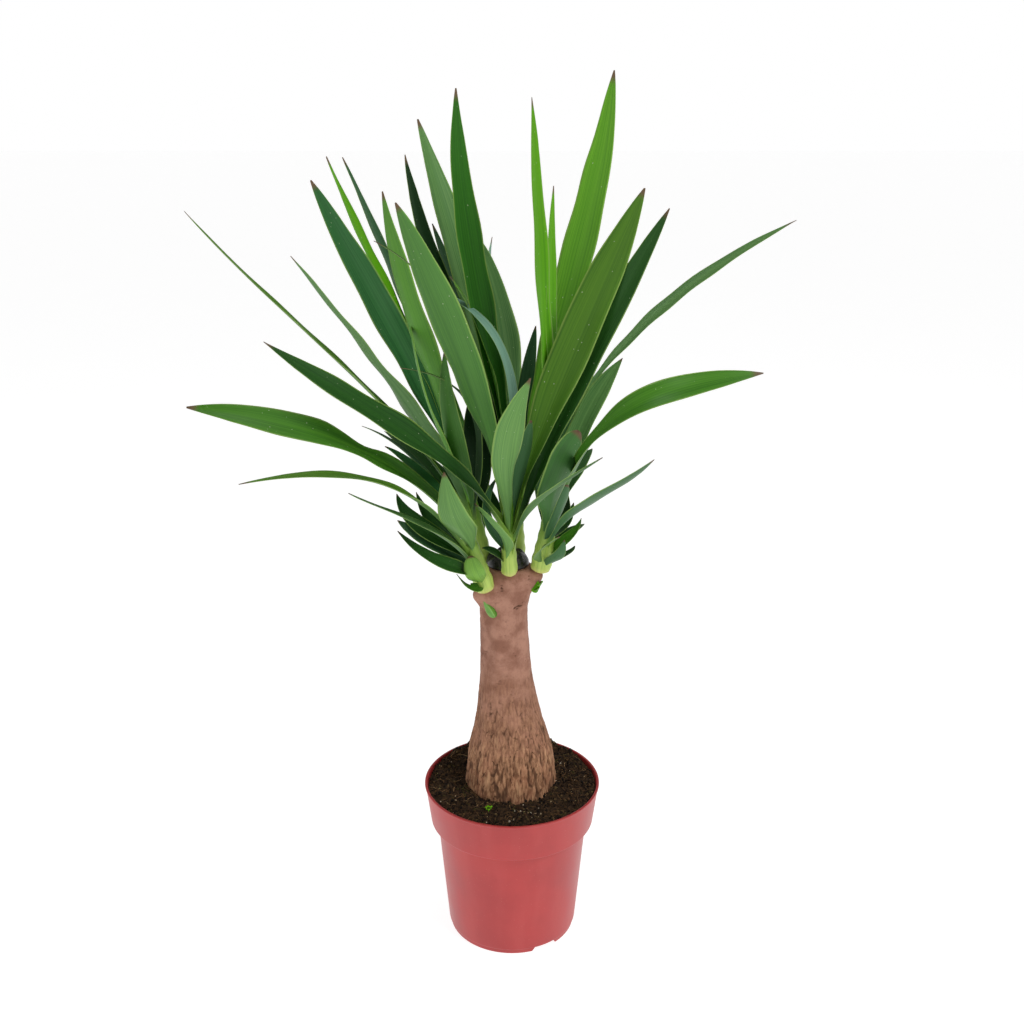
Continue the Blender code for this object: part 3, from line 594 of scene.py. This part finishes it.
def add_blade(patch, head, row, seed, widths=BLADE):
    """One closed blade: a folded cross-section swept along the leaf's middle."""
    rng = random.Random(seed)
    length, width, roll, twist, tone = row[3], *row[6:10]
    long_leaf = length > 60
    count = BLADE_STATIONS if long_leaf else BLADE_STATIONS // 2
    shares = 1.0 - (1.0 - np.linspace(0, 1, count)) ** 1.15
    middle, side = midline(head, row, shares)
    along = np.gradient(middle, axis=0)
    along /= np.linalg.norm(along, axis=1)[:, None]
    half = 0.5 * width * curve_at(widths, shares)
    fold = np.radians(curve_at(FOLD_SHAPE, shares))
    wave_size = rng.uniform(0.03, 0.07) * width
    wave_count = length / rng.uniform(55, 85)
    phases = [rng.uniform(0, math.tau) for _ in range(4)]
    thick = BASE_THICKNESS + (TIP_THICKNESS - BASE_THICKNESS) * shares ** 0.5
    spots = np.linspace(-1, 1, BLADE_ACROSS + 1)
    points, uvs, unders = [], [], []
    for k, share in enumerate(shares):
        across = side - along[k] * side.dot(along[k])
        across /= np.linalg.norm(across)
        face = np.cross(along[k], across)
        turn = math.radians(roll + twist * (share - 0.5))
        turned = across * math.cos(turn) + face * math.sin(turn)
        upper = face * math.cos(turn) - across * math.sin(turn)
        grow = math.sin(math.pi * min(1.0, share * 1.1)) if share < 0.9 else 0.3
        for top in (True, False):
            for t in spots if top else spots[::-1]:
                reach = half[k] * (1.0 + 0.035 * math.sin(math.tau * wave_count * share * 0.8
                                                            + phases[0] + (1.6 if t > 0 else 0.0)))
                cup = 0.55 * abs(t) + 0.45 * t * t
                wave = wave_size * grow * t * abs(t) * math.sin(
                    math.tau * wave_count * share + phases[1 if t > 0 else 2])
                lift = reach * math.sin(fold[k]) * cup + wave
                depth = 0.0
                if not top:
                    depth = EDGE_THICKNESS + (thick[k] - EDGE_THICKNESS) * (1 - t * t) ** 0.7
                spread = reach * math.cos(fold[k]) * t
                points.append(middle[k] + turned * spread + upper * (lift - depth))
                uvs.append((0.5 + 0.5 * t, share))
                unders.append(0.0 if top else 1.0)
    colour = linear(TONES[tone])[:3]
    shift = rng.uniform(0.9, 1.1)
    rgba = (*[c * shift for c in colour], rng.random())
    patch.add(points, tube_faces(count, 2 * len(spots)), uvs, rgba, unders)


def add_stem(patch, head, seed, tone=(0.0, 0.0, 0.0, 1.0)):
    """A head's stem, wrapped in the ribbed sheaths of its leaves."""
    base, top, wide, slim = head
    base, top = Vector(base), Vector(top)
    along = (top - base).normalized()
    length = (top - base).length
    across = along.cross(Vector((0, 1, 0))).normalized()
    ahead = along.cross(across)
    shape = ((0.32 * wide, 0.55 * wide), (0.5 * wide, 0.86 * wide), (0.9 * wide, wide),
             (0.5 * length, 0.5 * (wide + slim)), (length, slim), (1.1 * length, 0.3 * slim))
    levels = np.linspace(shape[0][0], shape[-1][0], 40)
    radii = curve_at(shape, levels)
    sides = 40
    points, uvs = [], []
    for height, radius in zip(levels, radii):
        for k in range(sides):
            turn = math.tau * k / sides
            ridge = noise.noise(Vector((math.cos(turn) * 2.2, math.sin(turn) * 2.2, height * 0.02 + seed)))
            ring = 0.04 * math.sin(height * 0.55 + 2.0 * math.sin(turn + seed))
            out = float(radius) * (0.97 + 0.09 * ridge + ring)
            centre = base + along * float(height)
            points.append(centre + out * (math.cos(turn) * across + math.sin(turn) * ahead))
            uvs.append((k / sides, (height - levels[0]) / (levels[-1] - levels[0])))
    patch.add(points, tube_faces(len(levels), sides), uvs, tone)


def make_head(name, head, rows, leaf, stem):
    """One head: its blades in one piece and its stem in another."""
    blades = Patchwork()
    for index, row in enumerate(rows):
        widths = ODD_SHAPES.get((name, index), BLADE)
        add_blade(blades, head, row, hash_seed(name, index), widths)
    item = blades.build(name + "_blades", leaf)
    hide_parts(name)
    sheath = Patchwork()
    add_stem(sheath, head, len(name))
    column = sheath.build(name + "_stem", stem)
    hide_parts(name)


def hash_seed(name, index):
    """A steady seed for a leaf, from its head's name and its place there."""
    return sum(ord(c) for c in name) * 101 + index * 7


def rounded(corners, size, steps=4):
    """An outline with each inner corner cut to a short arc."""
    made = [corners[0]]
    for before, corner, after in zip(corners, corners[1:], corners[2:]):
        corner = Vector(corner)
        back, ahead = Vector(before) - corner, Vector(after) - corner
        reach = min(size, 0.45 * back.length, 0.45 * ahead.length)
        start = corner + back.normalized() * reach
        end = corner + ahead.normalized() * reach
        for k in range(steps + 1):
            t = k / steps
            made.append(tuple((1 - t) ** 2 * start + 2 * (1 - t) * t * corner + t ** 2 * end))
    made.append(corners[-1])
    return made


def turned(outline, sides):
    """Points and faces of an outline of radius and height turned round the Z axis."""
    points = []
    for radius, height in outline:
        for k in range(sides):
            turn = math.tau * k / sides
            points.append((radius * math.cos(turn), radius * math.sin(turn), height))
    return points, tube_faces(len(outline), sides)


def cutter_object(name, points, faces):
    mesh = bpy.data.meshes.new(name)
    mesh.from_pydata([tuple(v * MM for v in p) for p in points], [], faces)
    work = bmesh.new()
    work.from_mesh(mesh)
    bmesh.ops.recalc_face_normals(work, faces=work.faces)
    work.to_mesh(mesh)
    work.free()
    item = bpy.data.objects.new(name, mesh)
    return item


def cut(item, cutters):
    """Cuts a list of loose objects from an item, and removes them."""
    group = bpy.data.collections.new("cutters")
    bpy.context.scene.collection.children.link(group)
    for cutter in cutters:
        group.objects.link(cutter)
    boolean = item.modifiers.new("Boolean", "BOOLEAN")
    boolean.operation = "DIFFERENCE"
    boolean.operand_type = "COLLECTION"
    boolean.collection = group
    bpy.context.view_layer.update()
    evaluated = item.evaluated_get(bpy.context.evaluated_depsgraph_get())
    mesh = bpy.data.meshes.new_from_object(evaluated)
    item.modifiers.clear()
    item.data = mesh
    for cutter in cutters:
        bpy.data.objects.remove(cutter, do_unlink=True)
    bpy.data.collections.remove(group)


def make_pot(material):
    """The pot, turned from a rounded outline, with its foot notches and drain holes."""
    bead = POT_HEIGHT - BEAD_HEIGHT
    thick = WALL_THICKNESS
    foot_inside = FOOT_RADIUS - FOOT_WIDTH
    inside = [
        (0.01, FLOOR_TOP), (WALL_BOTTOM_RADIUS - thick, FLOOR_TOP),
        (WALL_TOP_RADIUS - thick, COLLAR_BOTTOM - STEP_HEIGHT + 1.0),
        (COLLAR_RADIUS - thick, COLLAR_BOTTOM + 1.0), (RIM_RADIUS - BEAD_WIDTH - thick, POT_HEIGHT),
    ]
    outside = [
        (RIM_RADIUS, POT_HEIGHT), (RIM_RADIUS, bead + 0.2), (RIM_RADIUS - BEAD_WIDTH, bead - 0.3),
        (COLLAR_RADIUS, COLLAR_BOTTOM), (COLLAR_RADIUS - 1.0, COLLAR_BOTTOM - 1.0),
        (WALL_TOP_RADIUS, COLLAR_BOTTOM - STEP_HEIGHT), (WALL_BOTTOM_RADIUS, FOOT_HEIGHT + 1.2),
        (WALL_BOTTOM_RADIUS - 0.5, FOOT_HEIGHT + 0.3), (FOOT_RADIUS, FOOT_HEIGHT),
        (FOOT_RADIUS - 0.4, 0.0), (foot_inside, 0.0), (foot_inside - 0.5, FOOT_HEIGHT),
        (0.01, FOOT_HEIGHT),
    ]
    outline = rounded(inside + outside, 0.7)
    points, faces = turned(outline, POT_SIDES)
    mesh = bpy.data.meshes.new("pot_shell")
    mesh.from_pydata([tuple(v * MM for v in p) for p in points], [], faces)
    pot = finish_object("pot_shell", mesh, material)
    cutters = []
    for k in range(NOTCH_COUNT):
        turn = math.radians(NOTCH_BEARING) + math.tau * k / NOTCH_COUNT
        half = NOTCH_WIDTH / 2
        low, high = (half, -1.0), (half - NOTCH_SLOPE, FOOT_HEIGHT - 0.2)
        corners = ((-low[0], low[1]), low, (half, 0.0), high, (-high[0], high[1]), (-half, 0.0))
        near = [(foot_inside - 8, y, z) for y, z in corners]
        far = [(FOOT_RADIUS + 6, y, z) for y, z in corners]
        notch = cutter_object("notch", near + far, tube_faces(2, len(corners)))
        notch.data.transform(Matrix.Rotation(turn, 4, "Z"))
        cutters.append(notch)
    for k in range(DRAIN_COUNT):
        turn = math.radians(NOTCH_BEARING) + math.tau * k / DRAIN_COUNT
        middle = Vector((DRAIN_CIRCLE * math.cos(turn), DRAIN_CIRCLE * math.sin(turn), 0))
        ring, faces = turned([(DRAIN_RADIUS, FOOT_HEIGHT - 3), (DRAIN_RADIUS, FLOOR_TOP + 3)], 32)
        cutters.append(cutter_object("drain", [Vector(p) + middle for p in ring], faces))
    cut(pot, cutters)
    pot.data.set_sharp_from_angle(angle=math.radians(50))
    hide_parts("pot")


def layered(x, y, z, octaves, roughness=0.5):
    """Several sizes of smooth noise added together, from about -1 to 1."""
    total, size, scale = 0.0, 1.0, 1.0
    for _ in range(octaves):
        total += size * noise.noise(Vector((x * scale, y * scale, z * scale)))
        size *= roughness
        scale *= 2.03
    return total


def soil_height(x, y, fine=True):
    """The soil's surface: mounded round the trunk, heaped at the back, and lumpy."""
    reach = math.hypot(x, y)
    edge = RIM_RADIUS - BEAD_WIDTH - WALL_THICKNESS
    mound = SOIL_MOUND * max(0.0, 1.0 - reach / edge) ** MOUND_POWER
    heap = BACK_HEAP * max(0.0, y / edge) ** 2
    coarse = noise.noise(Vector((x * 0.09, y * 0.09, 3.0)))
    middling = noise.noise(Vector((x * 0.2, y * 0.2, 9.0)))
    height = SOIL_EDGE + mound + heap + SOIL_BUMP * (coarse + 0.5 * middling)
    if fine:
        height += SOIL_CRUMB * layered(x * 0.45, y * 0.45, 5.0, 3, 0.6)
        for cx, cy, size in SOIL_CLUMPS:
            away = math.hypot(x - cx, y - cy) / size
            height += 0.45 * size * math.exp(-away * away)
    return height


def make_soil(material):
    """The soil's body: a crumbly top, and the inside of the pot below it."""
    low_radius = COLLAR_RADIUS - WALL_THICKNESS - SOIL_GAP
    high_radius = RIM_RADIUS - BEAD_WIDTH - WALL_THICKNESS - SOIL_GAP
    bottom = WALL_BOTTOM_RADIUS - WALL_THICKNESS - SOIL_GAP
    middle = WALL_TOP_RADIUS - WALL_THICKNESS - SOIL_GAP
    below = [(0.01, FLOOR_TOP + SOIL_GAP), (bottom, FLOOR_TOP + SOIL_GAP),
             (middle, COLLAR_BOTTOM - STEP_HEIGHT + 1.0), (low_radius, COLLAR_BOTTOM + 1.0)]
    points, _ = turned(below, SOIL_SIDES)
    levels = len(below)
    for ring in range(SOIL_RINGS):
        share = ring / (SOIL_RINGS - 1)
        radius = high_radius - 0.9 - (high_radius - SOIL_HOLE) * share
        for k in range(SOIL_SIDES):
            turn = math.tau * (k + 0.5 * (ring % 2)) / SOIL_SIDES
            x, y = radius * math.cos(turn), radius * math.sin(turn)
            height = soil_height(x, y)
            if ring == 0:
                height = min(height, POT_HEIGHT - 1.5)
            points.append((x, y, height))
        levels += 1
    mesh = bpy.data.meshes.new("soil_body")
    mesh.from_pydata([tuple(v * MM for v in p) for p in points], [], tube_faces(levels, SOIL_SIDES))
    body = finish_object("soil_body", mesh, material)
    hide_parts("soil")


def soil_spot(rng):
    """A random place on the soil's open surface."""
    while True:
        x, y = rng.uniform(-83, 83), rng.uniform(-83, 83)
        reach = math.hypot(x, y)
        if 42.5 < reach < 80.5:
            return x, y


def lump(rng, size):
    """A small angular crumb, as points about its centre, with its faces."""
    work = bmesh.new()
    bmesh.ops.create_icosphere(work, subdivisions=1, radius=1.0)
    stretch = [rng.uniform(0.6, 1.25) for _ in range(3)]
    spin = Matrix.Rotation(rng.uniform(0, math.tau), 3, Vector((rng.random(), rng.random(), 0.4)))
    points = []
    for vert in work.verts:
        rough = size * rng.uniform(0.75, 1.2)
        points.append(spin @ Vector([c * s * rough for c, s in zip(vert.co, stretch)]))
    faces = [tuple(v.index for v in face.verts) for face in work.faces]
    work.free()
    return points, faces


def make_crumbs(material):
    """Loose crumbs of peat, more of them in the clumps at the back."""
    rng = random.Random(11)
    patch = Patchwork()
    tones = ((34, 23, 16), (52, 37, 25), (78, 56, 36), (24, 17, 13), (96, 78, 50), (62, 54, 30))
    weights = (6, 6, 3, 4, 1, 1)
    spots = [(*soil_spot(rng), rng.uniform(0.5, 1.7)) for _ in range(CRUMB_COUNT)]
    for cx, cy, size in SOIL_CLUMPS:
        for _ in range(34):
            spots.append((rng.gauss(cx, size * 0.5), rng.gauss(cy, size * 0.5), rng.uniform(0.9, 2.2)))
    for x, y, size in spots:
        if math.hypot(x, y) > RIM_RADIUS - 4.5:
            continue
        points, faces = lump(rng, size)
        height = soil_height(x, y) + 0.25 * size
        tone = linear(rng.choices(tones, weights)[0])
        patch.add([p + Vector((x, y, height)) for p in points], faces, None, tone)
    crumbs = patch.build("soil_crumbs", material)


def strand(points, radius, sides=4):
    """A thin tube along some points."""
    points = [Vector(p) for p in points]
    made = []
    for k, point in enumerate(points):
        ahead = points[min(k + 1, len(points) - 1)] - points[max(k - 1, 0)]
        across = ahead.cross(Vector((0.13, 0.2, 1.0))).normalized()
        over = ahead.normalized().cross(across)
        size = radius * (0.45 if k in (0, len(points) - 1) else 1.0)
        for i in range(sides):
            turn = math.tau * i / sides
            made.append(point + size * (math.cos(turn) * across + math.sin(turn) * over))
    return made, tube_faces(len(points), sides)


def make_fibres(material):
    """Curved root and peat fibres that lie on the soil, and a few pale splinters."""
    rng = random.Random(23)
    patch = Patchwork()
    tones = ((70, 50, 33), (104, 78, 50), (136, 104, 70), (52, 38, 27), (168, 136, 98), (92, 88, 44))
    weights = (6, 5, 3, 5, 1, 1)
    for index in range(FIBRE_COUNT):
        x, y = soil_spot(rng)
        heading = rng.uniform(0, math.tau)
        bend = rng.uniform(-0.16, 0.16)
        length = rng.uniform(4, 15)
        steps = 8
        points = []
        rise = rng.uniform(0.1, 0.9)
        for k in range(steps):
            lift = 0.2 + rise * math.sin(math.pi * k / (steps - 1))
            points.append((x, y, soil_height(x, y) + lift))
            x += length / steps * math.cos(heading)
            y += length / steps * math.sin(heading)
            heading += bend + rng.uniform(-0.2, 0.2)
            if not 41.0 < math.hypot(x, y) < 80.8:
                break
        if len(points) < 4:
            continue
        made, faces = strand(points, rng.uniform(0.1, 0.27))
        tone = linear(rng.choices(tones, weights)[0])
        patch.add(made, faces, None, tone)
    fibres = patch.build("soil_fibres", material)


def make_chips(material):
    """Pale bits in the soil: a patch of them in front, and some all round."""
    rng = random.Random(37)
    patch = Patchwork()
    tones = ((214, 200, 178), (190, 168, 136), (150, 140, 92), (176, 150, 116))
    for index in range(CHIP_COUNT):
        x, y = soil_spot(rng)
        if index < 20:
            x = PALE_PATCH[0] + rng.gauss(4, 8)
            y = PALE_PATCH[1] + rng.gauss(0, 5)
        points, faces = lump(rng, rng.uniform(0.35, 0.95))
        height = soil_height(x, y) + 0.7
        patch.add([p + Vector((x, y, height)) for p in points], faces, None, linear(rng.choice(tones)))
    chips = patch.build("soil_chips", material)


def make_seedling(leaf):
    """A tiny weed seedling in the soil, with four round leaves."""
    patch = Patchwork()
    x, y = SEEDLING_PLACE
    ground = soil_height(x, y)
    made, faces = strand([(x, y, ground - 2), (x, y, ground + 1), (x + 0.3, y, ground + 4)], 0.35, 6)
    green = (*linear((120, 190, 30))[:3], 0.2)
    patch.add(made, faces, [(0.5, 0.5)] * len(made), green)
    for bearing, length, lean in ((20, 4.4, 62), (110, 3.6, 60), (195, 4.2, 58), (280, 4.8, 66), (65, 3.0, 20)):
        head = ((x, y, ground + 2.6), (x + 0.3, y, ground + 4.2), 0.4, 0.3)
        row = (0.8, bearing, lean, length, 0.5, 0, 3.0, 0, 0, "bright")
        add_leaflet(patch, head, row, green)
    seedling = patch.build("seedling", leaf)


def add_leaflet(patch, head, row, tone):
    """A tiny round-ended leaf, 0.3 mm thick."""
    shares = np.linspace(0, 1, 9)
    middle, side = midline(head, row, shares)
    along = np.gradient(middle, axis=0)
    half = 0.5 * row[6] * np.sin(np.pi * np.clip(shares * 0.86 + 0.1, 0, 1)) ** 0.7
    points, uvs = [], []
    spots = np.linspace(-1, 1, 5)
    for k, share in enumerate(shares):
        forward = along[k] / np.linalg.norm(along[k])
        face = np.cross(forward, side)
        for depth, row_spots in ((0.0, spots), (0.3, spots[::-1])):
            for t in row_spots:
                points.append(middle[k] + side * half[k] * t + face * (0.25 * t * t - depth))
                uvs.append((0.5 + 0.35 * t, 0.3 + 0.5 * share))
    patch.add(points, tube_faces(len(shares), 10), uvs, tone)


def trunk_shape(height):
    """The trunk's radius and centre at a height."""
    heights = [row[0] for row in TRUNK_PROFILE]
    radius = float(np.interp(height, heights, [row[1] for row in TRUNK_PROFILE]))
    centre = float(np.interp(height, heights, [row[2] for row in TRUNK_PROFILE]))
    return radius, centre


def shoulder(turn, height):
    """How far the trunk swells towards the heads that grow from it."""
    swell = 0.0
    for bearing, level, reach in SHOULDERS:
        apart = math.degrees(math.remainder(turn - math.radians(bearing), math.tau))
        around = (apart / SHOULDER_TURN) ** 2
        along = ((height - level) / SHOULDER_HEIGHT) ** 2
        swell += reach * math.exp(-around - along)
    return swell


def bark_relief(turn, height, radius):
    """The bark's fine relief in millimetres, from cracks to ridges."""
    x, y = math.cos(turn) * radius, math.sin(turn) * radius
    rough = min(1.0, max(0.0, (FIBROUS_BELOW - height) / 110.0))
    plate = layered(x * 0.16, y * 0.16, height * 0.035, 3, 0.6)
    crack = abs(noise.noise(Vector((x * 0.24, y * 0.24, height * 0.05 + 7))))
    split = -max(0.0, 1.0 - crack / 0.1)
    fibre = layered(x * 0.55, y * 0.55, height * 0.09 + 20, 2, 0.6)
    lower = 0.9 * plate + 1.1 * split + 0.6 * fibre
    band = noise.noise(Vector((x * 0.05, y * 0.05, height * 0.6 + 40)))
    scar = -max(0.0, 1.0 - abs(band) / 0.07) * max(0.0, noise.noise(Vector((x * 0.08, y * 0.08, height * 0.1))))
    upper = 0.35 * layered(x * 0.12, y * 0.12, height * 0.12 + 60, 3, 0.6) + 1.6 * scar
    return lower * rough + upper * (1.0 - rough), rough


def make_trunk(material):
    """The cane, with its bark's relief in the mesh."""
    points, reliefs, roughs = [], [], []
    heights = [row[0] for row in TRUNK_PROFILE]
    radii = curve_at([(row[0], row[1]) for row in TRUNK_PROFILE], np.linspace(heights[0], TRUNK_TOP, TRUNK_LEVELS))
    for level, height in enumerate(np.linspace(heights[0], TRUNK_TOP, TRUNK_LEVELS)):
        _, centre = trunk_shape(height)
        radius = float(radii[level])
        for k in range(TRUNK_SIDES):
            turn = math.tau * k / TRUNK_SIDES
            way = Vector((math.cos(turn) * 1.6, math.sin(turn) * 1.6, height * 0.02))
            out = radius + 0.035 * radius * noise.noise(way)
            if height < TRUNK_TOP - 1:
                ridge = 0.5 * math.sin(9 * turn + height * 0.02) * min(1.0, radius / 40)
                out += ridge + shoulder(turn, height)
            relief, rough = bark_relief(turn, height, radius)
            out += relief
            reliefs.append(relief)
            roughs.append(rough)
            points.append((centre + out * math.cos(turn), out * math.sin(turn), height))
    mesh = bpy.data.meshes.new("trunk_bark")
    mesh.from_pydata([tuple(v * MM for v in p) for p in points], [], tube_faces(TRUNK_LEVELS, TRUNK_SIDES))
    for name, values in (("relief", reliefs), ("fibrous", roughs)):
        layer = mesh.attributes.new(name, "FLOAT", "POINT")
        layer.data.foreach_set("value", np.array(values, dtype=np.float32))
    trunk = finish_object("trunk_bark", mesh, material)
    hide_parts("trunk")


def make_wax(material):
    """The sealing wax: a lumpy cap on the cut."""
    points = []
    shares = np.linspace(0, 1, 40)
    wide = curve_at([(k / (len(WAX_SHAPE) - 1), row[0]) for k, row in enumerate(WAX_SHAPE)], shares)
    rise = curve_at([(k / (len(WAX_SHAPE) - 1), row[1]) for k, row in enumerate(WAX_SHAPE)], shares)
    for share, level in zip(wide, rise):
        for k in range(WAX_SIDES):
            turn = math.tau * k / WAX_SIDES
            x = WAX_CENTRE[0] + max(share, 0.002) * WAX_RADIUS * math.cos(turn)
            y = WAX_CENTRE[1] + max(share, 0.002) * WAX_RADIUS * math.sin(turn)
            lumps = 1.0 + 0.35 * noise.noise(Vector((x * 0.12, y * 0.12, 1.0)))
            drip = 0.5 * layered(x * 0.3, y * 0.3, level * 3, 3)
            points.append((x, y, TRUNK_TOP + SOIL_GAP + level * (WAX_HEIGHT * lumps + drip)))
    mesh = bpy.data.meshes.new("wax_cap")
    mesh.from_pydata([tuple(v * MM for v in p) for p in points], [], tube_faces(len(shares), WAX_SIDES))
    cap = finish_object("wax_cap", mesh, material)
    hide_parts("wax_seal")


def make_bud(leaf):
    """The pointed bud that lies close along the trunk, in two overlapping scales."""
    base, tip, wide = Vector(BUD[0]), Vector(BUD[1]), BUD[2]
    along = (tip - base).normalized()
    length = (tip - base).length
    across = along.cross(Vector((0, 1, 0))).normalized()
    ahead = along.cross(across)
    patch = Patchwork()
    shape = ((-0.12, 0.4), (0.05, 0.9), (0.3, 1.0), (0.6, 0.72), (0.85, 0.34), (1.0, 0.04))
    for shift, size, tone in ((0.0, 1.0, (112, 160, 84)), (-1.5, 0.92, (84, 128, 44))):
        shares = np.linspace(-0.12, 1.0, 24)
        radii = curve_at(shape, shares)
        points, uvs = [], []
        sides = 28
        for share, radius in zip(shares, radii):
            centre = base + along * length * float(share) * size + across * shift
            for k in range(sides):
                turn = math.tau * k / sides
                rib = 1.0 + 0.06 * math.cos(3 * turn)
                out = wide * float(radius) * size * rib
                points.append(centre + out * (math.cos(turn) * across + 0.7 * math.sin(turn) * ahead))
                uvs.append((0.15 + 0.7 * k / sides, 0.25 + 0.7 * (float(share) + 0.12) / 1.12))
        patch.add(points, tube_faces(len(shares), sides), uvs, (*linear(tone)[:3], 0.4))
    bud = patch.build("bud_scales", leaf)
    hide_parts("bud_left")


def make_sprout(leaf):
    """The small sprout of two leaflets under the right-hand head."""
    patch = Patchwork()
    for index, row in enumerate(SPROUT_LEAVES):
        add_blade(patch, SPROUT_HEAD, row, 500 + index)
    add_stem(patch, SPROUT_HEAD, 3, (*linear(TONES["bright"])[:3], 0.5))
    sprout = patch.build("sprout_leaflets", leaf)
    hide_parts("sprout_right")


def make_stage():
    """A pale floor, soft lights and the studio world."""
    size = 30.0
    mesh = bpy.data.meshes.new("floor")
    mesh.from_pydata([(-size, -size, 0), (size, -size, 0), (size, size, 0), (-size, size, 0)],
                     [], [(0, 1, 2, 3)])
    floor = bpy.data.objects.new("floor", mesh)
    floor.location.z = -0.0003
    mesh.materials.append(floor_material())
    bpy.context.scene.collection.objects.link(floor)
    add_area_light("key", (1.2, -1.1, 2.0), (0, 0, 0.4), 0.9, 22.0)
    add_area_light("fill", (-1.6, -1.3, 1.3), (0, 0, 0.4), 1.2, 6.0)
    add_area_light("top", (-0.1, 0.4, 2.4), (0, 0, 0.4), 1.2, 12.0)
    world = bpy.data.worlds.new("studio")
    bpy.context.scene.world = world
    world.use_nodes = True
    tree = world.node_tree
    background = tree.nodes["Background"]
    place = tree.nodes.new("ShaderNodeTexCoord")
    parts = tree.nodes.new("ShaderNodeSeparateXYZ")
    fade = tree.nodes.new("ShaderNodeMapRange")
    fade.interpolation_type = "SMOOTHSTEP"
    for key, value in {1: 0.1, 2: 0.36, 3: 1.0, 4: 0.16}.items():
        fade.inputs[key].default_value = value
    tree.links.new(place.outputs["Generated"], parts.inputs[0])
    tree.links.new(parts.outputs[2], fade.inputs[0])
    tree.links.new(fade.outputs[0], background.inputs["Strength"])
    background.inputs["Color"].default_value = (1.0, 1.0, 1.0, 1.0)
    bpy.context.scene.view_settings.view_transform = "Standard"


def add_area_light(name, place, target, size, power):
    light = bpy.data.lights.new(name, "AREA")
    light.shape = "DISK"
    light.size = size
    light.energy = power
    item = bpy.data.objects.new(name, light)
    item.location = place
    aim = Vector(target) - Vector(place)
    item.rotation_euler = aim.to_track_quat("-Z", "Y").to_euler()
    bpy.context.scene.collection.objects.link(item)


def make_camera():
    camera = bpy.data.cameras.new("camera")
    camera.lens = CAMERA_LENS
    camera.sensor_width = 36.0
    camera.clip_end = 100.0
    item = bpy.data.objects.new("camera", camera)
    item.location = CAMERA_PLACE
    item.rotation_euler = (math.radians(CAMERA_TILT), 0.0, 0.0)
    bpy.context.scene.collection.objects.link(item)
    bpy.context.scene.camera = item


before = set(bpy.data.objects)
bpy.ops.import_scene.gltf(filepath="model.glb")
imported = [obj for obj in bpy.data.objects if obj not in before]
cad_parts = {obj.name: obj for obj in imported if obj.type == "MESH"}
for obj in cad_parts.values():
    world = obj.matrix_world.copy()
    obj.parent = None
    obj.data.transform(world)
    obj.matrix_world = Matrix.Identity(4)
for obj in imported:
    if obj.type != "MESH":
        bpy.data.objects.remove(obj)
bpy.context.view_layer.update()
make_camera()
make_stage()
make_pot(plastic_material())
make_soil(soil_material())
loose = toned_material("soil_bits", 0.9, 0.2, 0.35)
make_crumbs(loose)
make_fibres(loose)
make_chips(loose)
make_trunk(bark_material())
make_wax(wax_material())
leaf_finish = leaf_material()
stem_finish = stem_material()
for head_name, head_shape in HEADS.items():
    make_head(head_name, head_shape, LEAVES[head_name], leaf_finish, stem_finish)
make_bud(leaf_finish)
make_sprout(leaf_finish)
make_seedling(leaf_finish)
